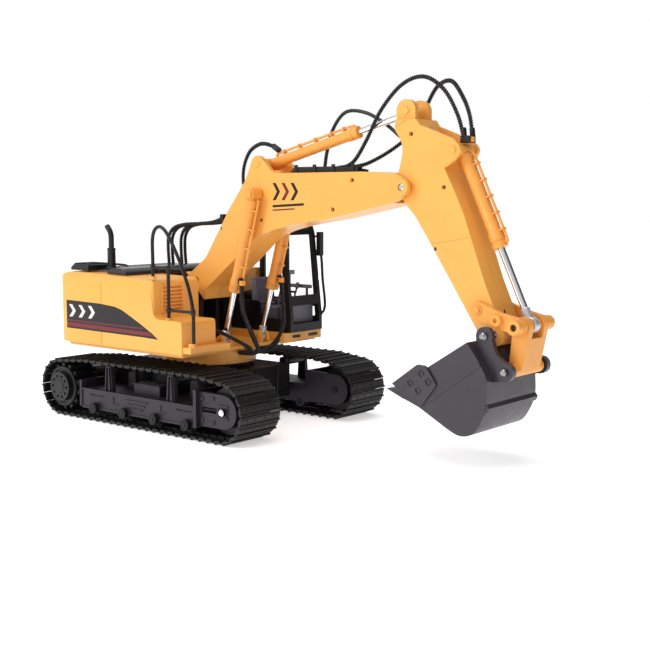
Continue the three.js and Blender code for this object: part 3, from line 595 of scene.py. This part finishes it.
def decals():
    """The near side's swoosh and stripes, and a plain mark on the boom, all without lettering."""

    def sheet(name, outline, level, material, body="house", y=-HOUSE_SIDE):
        bm = bmesh.new()
        out = math.copysign(level, y)
        prism(bm, outline, *sorted((y + out, y + out - math.copysign(0.08, y))))
        place(name, bm, material, body)

    sheet("swoosh_black", [(-82.3, 72.6), (-38.8, 72.2), (10, 71.8), (27.4, 71.2), (21, 75.2), (8, 81.6),
                           (-4.5, 87.2), (-14, 91.2), (-22, 93.2), (-38.8, 94.6), (-82.3, 95.4)], 0.08, DECAL)
    sheet("swoosh_red", [(-82.3, 74.2), (-38.8, 73.8), (8, 73.4), (22.6, 73.2), (17, 76), (-38.8, 76.8),
                         (-82.3, 77.2)], 0.12, RED)
    sheet("swoosh_thin", [(-82.3, 78.6), (-38.8, 78.2), (9, 78), (11.6, 78), (9.6, 79), (-38.8, 79.2),
                          (-82.3, 79.4)], 0.12, RED)
    sheet("left_swoosh_black",
          [(-82.3, 72.6), (-19, 72.2), (-26, 80), (-34, 87), (-44, 92), (-56, 94.4), (-82.3, 95.4)],
          0.08, DECAL, y=HOUSE_SIDE)
    sheet("left_swoosh_red", [(-82.3, 74.2), (-22, 73.8), (-24.6, 76.8), (-82.3, 77.2)], 0.12, RED,
          y=HOUSE_SIDE)
    for i in range(3):
        x = -79 + 12 * i
        outline = [(x, 82), (x + 4, 82), (x + 8.5, 87), (x + 4, 92), (x, 92), (x + 4.5, 87)]
        sheet(f"chevron_{i + 1}", outline, 0.12, PALE)
        sheet(f"left_chevron_{i + 1}", [(x + 8.5 - (a - x), z) for a, z in outline], 0.12, PALE, y=HOUSE_SIDE)
    boom_face = -16.0
    for i in range(3):
        x = 86 + 9 * i
        outline = [(x, 176), (x + 3.2, 176), (x + 7.6, 182.5), (x + 3.2, 189), (x, 189), (x + 4.4, 182.5)]
        sheet(f"boom_chevron_{i + 1}", outline, 0.08, DECAL if i != 1 else RED, "boom", y=boom_face)
    sheet("boom_bar_black", [(86, 170.6), (117, 172.2), (117, 174), (86, 172.4)], 0.08, DECAL, "boom",
          y=boom_face)
    sheet("boom_bar_red", [(86, 168), (108, 169.2), (108, 170.2), (86, 169)], 0.08, RED, "boom", y=boom_face)


def roof_items():
    def hood(bm):
        for y in range(-60, 56, 12):
            block(bm, -43.2, -20.8, y, y + 1.2, 117, 119.6)

    dress("engine_hood", GLOSS_BLACK, 0.8, None, hood)
    bm = bmesh.new()
    top = 119.4
    prism(bm, [(-84, top), (-62, top), (-62, 123.6), (-64, 124.4), (-80, 124.4), (-84, 121.6)], -74, -50)
    for i in range(5):
        block(bm, -82 + 4 * i, -80.4 + 4 * i, -72, -52, 123.8, 125.1)
    block(bm, -62.5, -51, -62, -54, top, 120.6)
    lathe(bm, at(-52, -58, top), (0, 0, 1),
          [(0, 4.2), (2.4, 4.2), (2.8, 3.4), (16, 3.2), (16.6, 3.5), (18, 3.5)], 24)
    sweep(bm, [(-52, -58, 136), (-52, -58, 146), (-53.2, -58, 150.6), (-57, -58, 155.2)], 2.2, 20, steps=30)
    place("exhaust_look", bm, BLACK, "house", 0.3, ["exhaust_stack"])
    rods = bmesh.new()
    sweep(rods, [(-86, -52, 120.4), (-76, -46, 123), (-52, -44, 123), (-46, -46, 120.6)], 0.9, 10, steps=24)
    place("roof_rod", rods, BLACK, "house")
    vents = bmesh.new()
    for i in range(6):
        block(vents, -86 + 5 * i, -83.4 + 5 * i, -34, 34, top - 1, top + 0.7)
    place("roof_vents", vents, GLOSS_BLACK, "house", 0.3)


def handrails():
    y = -75.5
    bm = bmesh.new()
    arch = [(17, 117.5), (17, 132), (17, 146), (19.5, 153.5), (25, 156.3), (31, 153.5), (38, 145), (47, 130),
            (55.5, 112), (60, 95), (60.5, 80), (60.5, 68)]
    sweep(bm, [(x, y, z) for x, z in arch], 1.35, 16, steps=100)
    sweep(bm, [(34, y, 86.2), (34, y, 106), (34, y, 127)], 1.3, 16, steps=20)
    sweep(bm, [(17, y, 125.5), (33, y, 125.5), (49.6, y, 125.5)], 1.1, 12, steps=10)
    sweep(bm, [(34, y, 93.7), (47, y, 93.7), (60.2, y, 93.7)], 1.1, 12, steps=10)
    for x, z in ((17, 125.5), (34, 125.5), (34, 93.7), (60.2, 93.7)):
        lathe(bm, at(x, y, z - 2), (0, 0, 1), [(0, 1.6), (0.5, 1.9), (3.5, 1.9), (4, 1.6)], 16)
    place("handrail_look", bm, BLACK, "house", 0, ["handrail"])
    feet = bmesh.new()
    lathe(feet, at(60.5 - 1.4, y, 66.8), (0, 0, 1), [(0, 3), (3.2, 3), (3.6, 2.5)], 20)
    for x, z in ((34, 85.9), (17, 116.6)):
        lathe(feet, at(x, y, z), (0, 0, 1), [(0, 2.6), (1.6, 2.6), (2, 2.1)], 20)
    place("rail_feet", feet, YELLOW, "house")


def cab():
    cuts = bmesh.new()
    for i in range(4):
        x = -6 + 10 * i
        prism(cuts, [(x, 46), (x + 5.5, 46), (x + 5.5, 74), (x, 74)], 155, 157, "xy")
    # The door's shut line on the outer side.
    for x in (14.6, 50.6):
        prism(cuts, [(x, 72), (x + 0.5, 72), (x + 0.5, 128), (x, 128)], 79.5, 82)

    def extras(bm):
        block(bm, 19, 25, 79.8, 81.2, 96, 97.8)
        block(bm, 43.4, 46, 48, 72, 151, 152.6)
        prism(bm, [(-13.5, 86), (52, 86), (50.5, 91.5), (-13.5, 91.5)], 79.4, 80.5)

    dress("cab_frame", BLACK, 0.5, cuts, extras)
    glass = bmesh.new()
    block(glass, 47.9, 48.4, 80.9, 84.0, 130, 148)
    place("mirror_face", glass, CHROME, "house")

    def controls(bm):
        for y in (51, 71):
            sweep(bm, [(31, y, 86), (31.5, y, 94), (34, y, 101)], 0.9, 10, steps=10)
            lathe(bm, at(34, y, 101), (0.3, 0, 1), [(0, 1.0), (1.5, 1.9), (4.5, 1.7), (5.5, 0.9)], 14)
            block(bm, 8, 27, y - 1.6, y + 1.6, 89.5, 91)
        block(bm, 45.8, 46.8, 45, 77, 74, 95)
        block(bm, 38.5, 44, 52, 70, 87.5, 93)

    dress("cab_seat", SEAT_GREY, 0.9, None, controls)


# ------------------------------------------------------------------ boom and stick
def hexagon(bm, x, z, y, side, radius=3.1, height=1.3):
    """A moulded hexagon bolt head on its washer."""
    lathe(bm, at(x, y, z), (0, side, 0), [(0, radius + 1.1), (0.35, radius + 1.0)], 28)
    lathe(bm, at(x, y, z), (0, side, 0), [(0, radius), (height, radius), (height + 0.3, radius - 0.5)], 6,
          0.3)


BOOM_SCREWS = ((30.2, 153.8), (73.9, 161), (162.3, 190.5), (144.5, 169.5))
STICK_SCREWS = ((210.8, 221.5), (238, 185.2), (231.2, 143.4))


def boom():
    for side, label in SIDES:
        cuts = bmesh.new()
        for x, z in BOOM_SCREWS:
            disc(cuts, x, z, *span(side, 14.6, 17), 1.75, 20)

        def bolts(bm):
            hexagon(bm, ARM_BASE[0], ARM_BASE[1], side * 15.9, side, 2.6, 0.7)
        dress(f"boom_shell_{label}", YELLOW, 0.7, cuts, bolts)
        heads = bmesh.new()
        for x, z in BOOM_SCREWS:
            lathe(heads, at(x, side * 13.6, z), (0, side, 0), [(0, 1.6), (0.8, 1.6), (1.1, 1.0)], 14)
        place(f"boom_screws_{label}", heads, DARK_STEEL, "boom")
        ring = bmesh.new()
        lathe(ring, at(BOOM_TIP[0], side * 17.4, BOOM_TIP[1]), (0, side, 0),
              [(0, 2.0), (1.0, 2.0), (1.3, 1.6)], 20)
        place(f"boom_tip_pin_{label}", ring, CHROME, "boom")
        cap = bmesh.new()
        lathe(cap, at(LIFT_TOP[0], side * 26.0, LIFT_TOP[1]), (0, side, 0),
              [(0, 2.2), (1.8, 2.2), (1.9, 3.5), (2.7, 3.3), (3.0, 2.6)], 24)
        place(f"lift_pivot_cap_{label}", cap, YELLOW_PARTS, "boom")
    dress("stick_pin", CHROME, 0.2)

    def clips(bm):
        for x in (100, 118, 136, 154):
            block(bm, x, x + 3, -7, 7, 196.6, 199)
            block(bm, x, x + 3, -7.2, -6.2, 196.6, 202.4)
        sweep(bm, [(99, -3, 199.8), (125, -3, 199.8), (158, -3, 199.8)], 1.2, 10, steps=10)
        sweep(bm, [(99, 0.6, 199.8), (125, 0.6, 199.8), (158, 0.6, 199.8)], 1.2, 10, steps=10)

    dress("hose_tray", BLACK, 0.2, None, clips)


def stick():
    for side, label in SIDES:
        cuts = bmesh.new()
        for x, z in STICK_SCREWS:
            disc(cuts, x, z, *span(side, 11.2, 14), 1.75, 20)
        groove = span(side, 12.2, 13)
        prism(cuts, [(197.2, 226.4), (213.4, 233.6), (213.4, 234.1), (197.2, 226.9)], *groove)
        prism(cuts, [(226.4, 146.2), (259, 151.6), (259, 152), (226.4, 146.6)], *groove)

        def bolts(bm):
            hexagon(bm, 204.5, 237.5, side * 9.9, side, 3.0, 1.0)
            hexagon(bm, BUCKET_BASE[0], BUCKET_BASE[1], side * 12.4, side, 2.7, 1.0)

        dress(f"stick_shell_{label}", YELLOW, 0.7, cuts, bolts)
        heads = bmesh.new()
        for x, z in STICK_SCREWS:
            lathe(heads, at(x, side * 10.2, z), (0, side, 0), [(0, 1.6), (0.8, 1.6), (1.1, 1.0)], 14)
        place(f"stick_screws_{label}", heads, DARK_STEEL, "stick")
        rocker_cap = bmesh.new()
        hexagon(rocker_cap, ROCKER_PIN[0], ROCKER_PIN[1], side * 17.3, side, 2.6, 1.3)
        place(f"rocker_pin_cap_{label}", rocker_cap, YELLOW_PARTS, "stick")
    dress("bucket_pin", CHROME, 0.2)


# ------------------------------------------------------------------ cylinders
def along(a, b, distance, y, offset=0.0):
    """The point a distance from a towards b, set off to the right-hand side of the line."""
    run = Vector((b[0] - a[0], b[1] - a[1])).normalized()
    return (a[0] + run.x * distance + run.y * offset, y, a[1] + run.y * distance - run.x * offset)


def cylinder(name, base, tip, y, radius, start, length, eye, pipe, clamps):
    """A barrel turned from one profile, its eye, and a feed pipe held by clamps, pipe mm off its axis."""
    bm = bmesh.new()
    run = Vector((tip[0] - base[0], 0, tip[1] - base[1])).normalized()
    big = radius + 0.6
    profile = [(start, radius - 1), (start + 1, radius), (length - 11, radius), (length - 10, big),
               (length - 5.4, big), (length - 5, radius + 0.1), (length - 4.2, radius + 0.1),
               (length - 3.8, big), (length - 0.4, big), (length, big - 0.5)]
    lathe(bm, at(base[0], y, base[1]), run, profile, 32)
    eye_radius, y0, y1 = eye
    lathe(bm, at(base[0], y0, base[1]), (0, 1, 0),
          [(0, eye_radius - 0.4), (0.4, eye_radius), (y1 - y0 - 0.4, eye_radius),
           (y1 - y0, eye_radius - 0.4)], 32)
    first, last = clamps[0] - 5, clamps[-1] + 6
    line = [along(base, tip, first - 3, y, pipe - math.copysign(1.6, pipe)),
            along(base, tip, first, y, pipe),
            along(base, tip, (first + last) / 2, y, pipe),
            along(base, tip, last, y, pipe),
            along(base, tip, last + 2.5, y, pipe - math.copysign(1.6, pipe))]
    sweep(bm, line, 0.95, 12, steps=40)
    for d in clamps:
        for shift in (-1.7, 1.7):
            a = along(base, tip, d, y + shift, math.copysign(radius - 0.8, pipe))
            b = along(base, tip, d, y + shift, pipe + math.copysign(1.1, pipe))
            lathe(bm, at(*a), Vector((b[0] - a[0], 0, b[2] - a[2])), [(0, 0.6), (math.dist(a, b), 0.6)], 8)
        centre = along(base, tip, d - 0.8, y, pipe)
        lathe(bm, at(*centre), run, [(0, 1.5), (1.6, 1.5)], 12)
    place(name + "_look", bm, YELLOW_PARTS, BODY[name], 0, [name])


def rod(name, base, tip, y, radius, start, length, collar=True):
    bm = bmesh.new()
    run = Vector((tip[0] - base[0], 0, tip[1] - base[1])).normalized()
    lathe(bm, at(base[0], y, base[1]), run, [(start, radius), (length, radius)], 28)
    place(name + "_look", bm, CHROME, BODY[name], 0, [name])
    if collar:
        end = bmesh.new()
        lathe(end, at(base[0], y, base[1]), run,
              [(length - 6, radius + 0.1), (length - 5.4, radius + 0.8), (length - 1, radius + 0.8),
               (length, radius + 0.2)], 24)
        lathe(end, at(tip[0], y - 2, tip[1]), (0, 1, 0), [(0, 2.8), (0.4, 3.2), (3.6, 3.2), (4, 2.8)], 28)
        place(name + "_eye", end, SILVER, BODY[name])


LIFT_BOTTOM = (38.5, 65.5)
LIFT_Y = 21.4
STICK_EAR = (204.5, 237.5)


def cylinders():
    for side, label in SIDES:
        y = side * LIFT_Y
        eye = (4.8, *span(side, 16.9, 27.6))
        cylinder(f"lift_barrel_{label}", LIFT_TOP, LIFT_BOTTOM, y, 4, 3.5, 78.8, eye, -6.3,
                 (12, 27, 42, 57, 68))
        rod(f"lift_rod_{label}", LIFT_TOP, LIFT_BOTTOM, y, 2.25, 40, 117)
        pin = bmesh.new()
        disc(pin, *LIFT_BOTTOM, *span(side, 16, 26.9), 2.0, 20)
        place(f"lift_foot_pin_{label}", pin, CHROME, f"lift_rod_{label}")
    cylinder("arm_barrel", ARM_BASE, STICK_EAR, 0, 4, 3, 89, (4.4, -9, 9), -6.0, (16, 32, 48, 64, 76))
    rod("arm_rod", ARM_BASE, STICK_EAR, 0, 2.2, 45, 136)
    cylinder("bucket_barrel", BUCKET_BASE, ROCKER_TIP, 0, 4.6, 3, 72, (4.2, -8.5, 8.5), -6.9,
             (13, 25, 37, 49, 61))
    reach = math.dist(BUCKET_BASE, ROCKER_TIP)
    rod("bucket_rod", BUCKET_BASE, ROCKER_TIP, 0, 2.4, 40, reach - 5, collar=False)
    clamp = bmesh.new()
    lathe(clamp, at(ROCKER_TIP[0], -3.2, ROCKER_TIP[1]), (0, 1, 0),
          [(0, 5.0), (0.5, 5.5), (5.9, 5.5), (6.4, 5.0)], 36)
    run = Vector((ROCKER_TIP[0] - BUCKET_BASE[0], 0, ROCKER_TIP[1] - BUCKET_BASE[1])).normalized()
    lathe(clamp, at(BUCKET_BASE[0], 0, BUCKET_BASE[1]), run,
          [(reach - 12, 2.6), (reach - 11.4, 3.3), (reach - 4.6, 3.3)], 24)
    place("bucket_rod_clamp", clamp, SILVER, "bucket_rod")


# ------------------------------------------------------------------ linkage and bucket
LINK_PIN = (295, 66.3)
CUTTER_BOLTS = ((236, 60.7), (241.8, 55.7), (227.1, 53.6), (233.5, 49.1))


def linkage():
    def rocker_bolts(bm):
        for side, _ in SIDES:
            lathe(bm, at(284, side * 17, 98.7), (0, side, 0), [(0, 4.6), (1.2, 4.2)], 24)

    holes = bmesh.new()
    for side, _ in SIDES:
        disc(holes, 284, 98.7, *span(side, 17.6, 21), 1.6, 16)
        disc(holes, *ROCKER_TIP, *span(side, 21, 24), 2.4, 20)
    dress("rocker", YELLOW_PARTS, 0.5, holes, rocker_bolts)
    heads = bmesh.new()
    for side, _ in SIDES:
        lathe(heads, at(284, side * 17.2, 98.7), (0, side, 0), [(0, 1.4), (0.9, 1.4)], 12)
        lathe(heads, at(ROCKER_TIP[0], side * 20.6, ROCKER_TIP[1]), (0, side, 0),
              [(0, 2.2), (1.0, 2.2), (1.3, 1.6)], 16)
    place("rocker_screws", heads, DARK_STEEL, "rocker")

    def face(bm):
        run = Vector((LINK_PIN[0] - ROCKER_TIP[0], LINK_PIN[1] - ROCKER_TIP[1])).normalized()
        corners = [(7.5, 3.5), (7.5, 5.9), (26, 5.0), (28.5, 4.7), (28.5, 2.5)]
        outline = [(ROCKER_TIP[0] + run.x * a - run.y * b, ROCKER_TIP[1] + run.y * a + run.x * b)
                   for a, b in corners]
        prism(bm, outline, -12.4, 12.4)

    dress("bucket_link", YELLOW_PARTS, 0.5, None, face)
    pockets = bmesh.new()
    for side, _ in SIDES:
        for x, z in CUTTER_BOLTS:
            prism(pockets, [(x - 3.1, z + 0.2), (x - 0.2, z - 3.1), (x + 3.1, z - 0.2), (x + 0.2, z + 3.1)],
                  *span(side, 33.0, 35))

    def bucket_details(bm):
        for side, _ in SIDES:
            # The side wall's stiffening seam.
            prism(bm, [(280.0, 71.4), (281.2, 69.8), (237.6, 39.0), (236.4, 40.6)], *span(side, 31.6, 32.5))
            for x, z in CUTTER_BOLTS:
                lathe(bm, at(x, side * 32.6, z), (0, side, 0), [(0, 1.7), (0.7, 1.7), (1.0, 1.2)], 6)
        # The bead across the back, and the plate between the ears.
        prism(bm, [(284.6, 38.6), (286.9, 39.8), (287.9, 42.6), (285.6, 45.6)], -32, 32)
        prism(bm, [(272.5, 81.6), (281.5, 70.6), (283.4, 72.0), (274.6, 83.2)], -20.6, 20.6)
        for y in (-25, -12.5, 0, 12.5, 25):
            prism(bm, [(205, 46.2), (216.5, 41.6), (217.8, 44.8), (213, 47.4), (207, 47.6)], y - 4.1, y + 4.1)

    dress("bucket", BUCKET_GREY, 0.8, pockets, bucket_details)
    ears = bmesh.new()
    for side, _ in SIDES:
        for (x, z), reach in ((BUCKET_PIN, 24.5), (LINK_PIN, 25.0)):
            lathe(ears, at(x, side * reach, z), (0, side, 0), [(0, 2.4), (2.2, 2.4), (3.0, 1.7)], 24)
    place("bucket_bolt_heads", ears, STEEL, "bucket", 0)


# ------------------------------------------------------------------ hoses
LIFT_HOSE_Y = 22.4


def hose(name, routes, node, bodies=None, ends=None, body=None, ribs=0.3, radius=1.35):
    bm = bmesh.new()
    for route in routes:
        sweep(bm, route, radius, 12, ribs)
    obj = place(name, bm, HOSE, body, 0, [node] if node else ())
    if bodies:
        [at(*p) for p in ends]
        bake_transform(obj)
    return obj


def hoses():
    rear = []
    for y in (-10, -5.5, 4.5, 9):
        rear.append([(-36, y, 122.4), (-37, y, 136), (-36, y, 146), (-30, y * 0.95, 153),
                     (-18, y * 0.85, 156), (0, y * 0.75, 157), (14, y * 0.7, 158.5), (26, y * 0.7, 162),
                     (30, y * 0.7, 160)])
    hose("rear_hoses_look", rear, "rear_hoses", ("house", "boom"), ((-36, 0, 140), (20, 0, 158)))
    clip = bmesh.new()
    block(clip, 23, 27, -9.5, 9.5, 158.8, 164.8)
    place("rear_hose_clip", clip, BLACK, "boom", 0.5)
    arm = [[(45, 7, 180), (35, 7, 186), (34, 7, 200), (41, 6, 213), (54, 3, 219), (66, 0, 219),
            (76, 0, 215.6)]]
    hose("arm_hose_look", arm, "arm_hose", ("boom", "arm_barrel"), ((45, 7, 200), (70, 0, 217)))
    fitting = bmesh.new()
    a, b = at(72, 0, 217.8), at(79.5, 0, 213.2)
    lathe(fitting, a, b - a, [(0, 1.8), (1, 2.3), (7.5, 2.3), (8.6, 1.8)], 12)
    place("arm_hose_fitting", fitting, BLACK, "arm_barrel")
    tray_ends = ((150, 0, 215), (215, 0, 240))
    smooth = [[(118, 7, 199.6), (119.5, 8, 212), (126, 7.5, 229), (139, 6.5, 240.5), (158, 6, 239),
               (176, 6, 230), (189, 5.5, 221), (202.5, 5, 213)]]
    wound = [
        [(140, -3, 199.8), (148, -3, 201), (156, -3.5, 206), (166, -4, 219), (180, -5, 240),
         (198, -5.5, 256), (216, -5.5, 260.2), (232, -5, 251), (242, -3, 234), (247.5, -2.5, 217)],
        [(144, 4, 199.9), (160, 6, 203), (178, 12, 213), (194, 15.5, 226), (204, 15.5, 242),
         (215, 13, 255), (229, 9, 257.5), (241, 5, 246), (248, 3, 233), (251, 2.5, 217)],
    ]
    hose("stick_hoses_look", wound, "stick_hoses", ("boom", "stick"), tray_ends)
    hose("stick_hose_plain", smooth, None, ("boom", "stick"), ((150, 0, 235), (200, 0, 214)), ribs=0)
    port = bmesh.new()
    block(port, 245, 252.5, -4, 4, 214.6, 219.5)
    for y, x in ((-2.5, 247.5), (2.5, 251)):
        lathe(port, at(x, y, 218.5), (-0.12, 0, 1), [(0, 1.9), (5.5, 1.9), (6.5, 1.5)], 12)
    place("stick_port", port, BLACK, "bucket_barrel", 0.4)
    tag = bmesh.new()
    block(tag, 252.2, 253.4, -2.4, 1.2, 215.4, 218.8)
    place("stick_port_tag", tag, YELLOW_PARTS, "bucket_barrel", 0.3)
    lift_routes = {
        "right": [(58.4, -22.4, 114.5), (59, -22.4, 110), (58.4, -22.4, 103), (60.5, -22.4, 89),
                  (65, -21, 77.5), (63, -12.5, 66.5), (58.5, -4, 58.6), (51, -2.6, 55.2), (40.2, -3, 54.5)],
        "left": [(58.4, 22.4, 113.5), (59.6, 22.4, 108), (60.5, 22.4, 98), (62.5, 21.5, 87), (65.5, 18, 77),
                 (66, 12.5, 68.5), (61.5, 6.3, 60.2), (52, 2.8, 55.8), (40.2, 3, 54.5)],
    }
    for side, label in SIDES:
        route = lift_routes[label]
        ends = ((60, side * 8, 64), (60, side * LIFT_HOSE_Y, 108))
        hose(f"lift_hose_{label}_look", [route], f"lift_hose_{label}", ("house", "boom"), ends)
        beside = [(x + 2.9, y - (2.2 if i < 6 else -side * 2.6), z + (0.8 if i < 6 else -0.2))
                  for i, (x, y, z) in enumerate(route[:-1])]
        beside.append((40.2, side * 5.8, 54.5))
        hose(f"lift_hose_{label}_pair", [beside], None, ("house", "boom"), ends)
        fit = bmesh.new()
        for back, shift in ((0, 0), (2.9, -2.2)):
            lathe(fit, at(56.9 + back, side * LIFT_HOSE_Y + shift, 115.4 + back * 0.3), (0.35, 0, -0.94),
                  [(0, 1.2), (0.6, 1.9), (6, 1.9), (6.8, 1.5)], 12)
        place(f"lift_hose_fitting_{label}", fit, BLACK, f"lift_barrel_{label}")
        tag = bmesh.new()
        block(tag, 60.6, 64.2, side * LIFT_HOSE_Y - 4.6, side * LIFT_HOSE_Y - 1.0, 110.6, 114.4)
        place(f"lift_hose_tag_{label}", tag, YELLOW_PARTS, "boom", 0.3)

    cross = [(30, -30, 75), (42, -29.5, 73.5), (51, -26, 69.5), (55, -17.5, 64.2), (54.5, -9, 59.4),
             (50, -5.9, 56.5), (40.2, -6.5, 54.5)]
    hose("deck_hose", [cross], None, body="house")


# ------------------------------------------------------------------ stage
CAMERA_SPOT = (667.12, -655.45, 179.95)
CAMERA_AIM = (-0.63382, 0.76507, -0.11372)
LENS = 62.9


def stage():
    scene = bpy.context.scene
    camera = bpy.data.objects.new("camera", bpy.data.cameras.new("camera"))
    camera.data.lens = LENS
    camera.data.sensor_width = 36
    camera.data.clip_start, camera.data.clip_end = 0.01, 50
    camera.location = at(*CAMERA_SPOT)
    camera.rotation_mode = "QUATERNION"
    camera.rotation_quaternion = Vector(CAMERA_AIM).to_track_quat("-Z", "Y")
    scene.collection.objects.link(camera)
    scene.camera = camera
    scene.view_settings.view_transform = "Standard"

    bm = bmesh.new()
    bmesh.ops.create_grid(bm, x_segments=1, y_segments=1, size=6)
    mesh = bpy.data.meshes.new("floor")
    bm.to_mesh(mesh)
    bm.free()
    pale = bpy.data.materials.new("floor")
    pale.use_nodes = True
    shader = pale.node_tree.nodes["Principled BSDF"]
    shader.inputs["Base Color"].default_value = (0.93, 0.93, 0.93, 1)
    shader.inputs["Roughness"].default_value = 0.75
    shader.inputs["Emission Color"].default_value = (1, 1, 1, 1)
    shader.inputs["Emission Strength"].default_value = 0.5
    mesh.materials.append(pale)
    floor = bpy.data.objects.new("floor", mesh)
    floor.location = (0, 0, -0.0002)
    scene.collection.objects.link(floor)
    floor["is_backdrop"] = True

    world = bpy.data.worlds.new("studio")
    world.use_nodes = True
    nodes, links = world.node_tree.nodes, world.node_tree.links
    background = nodes["Background"]
    background.inputs["Color"].default_value = (1, 1, 1, 1)
    # The camera sees a white room. Light from the camera's right is dim, which shades the forward faces.
    heading = nodes.new("ShaderNodeTexCoord")
    dot = nodes.new("ShaderNodeVectorMath")
    dot.operation = "DOT_PRODUCT"
    dot.inputs[1].default_value = (0.80, 0.58, -0.15)
    links.new(heading.outputs["Generated"], dot.inputs[0])
    dim = nodes.new("ShaderNodeMapRange")
    dim.interpolation_type = "SMOOTHSTEP"
    dim.inputs["From Min"].default_value = 0.0
    dim.inputs["From Max"].default_value = 0.8
    dim.inputs["To Min"].default_value = 0.7
    dim.inputs["To Max"].default_value = 0.08
    links.new(dot.outputs["Value"], dim.inputs["Value"])
    path = nodes.new("ShaderNodeLightPath")
    pick = nodes.new("ShaderNodeMix")
    links.new(path.outputs["Is Camera Ray"], pick.inputs["Factor"])
    links.new(dim.outputs["Result"], pick.inputs["A"])
    pick.inputs["B"].default_value = 1.0
    links.new(pick.outputs["Result"], background.inputs["Strength"])
    scene.world = world

    def lamp(name, spot, target, size, power):
        light = bpy.data.lights.new(name, "AREA")
        light.shape = "RECTANGLE"
        light.size, light.size_y = size
        light.energy = power
        obj = bpy.data.objects.new(name, light)
        obj.location = spot
        obj.rotation_mode = "QUATERNION"
        obj.rotation_quaternion = (Vector(target) - Vector(spot)).to_track_quat("-Z", "Y")
        scene.collection.objects.link(obj)
        obj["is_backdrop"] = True

    centre = (0, 0, 0.1)
    lamp("key", (-0.75, -1.35, 0.95), centre, (0.7, 0.7), 12)
    lamp("top", (0.0, -0.1, 1.6), centre, (1.2, 1.2), 9)
    lamp("front", (1.3, -0.9, 0.25), centre, (0.3, 0.7), 1.5)


undercarriage()
house()
decals()
roof_items()
handrails()
cab()
boom()
stick()
cylinders()
linkage()
hoses()
stage()

end_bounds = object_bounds()
[[list(corner) for corner in pair] for pair in (start_bounds, end_bounds)]
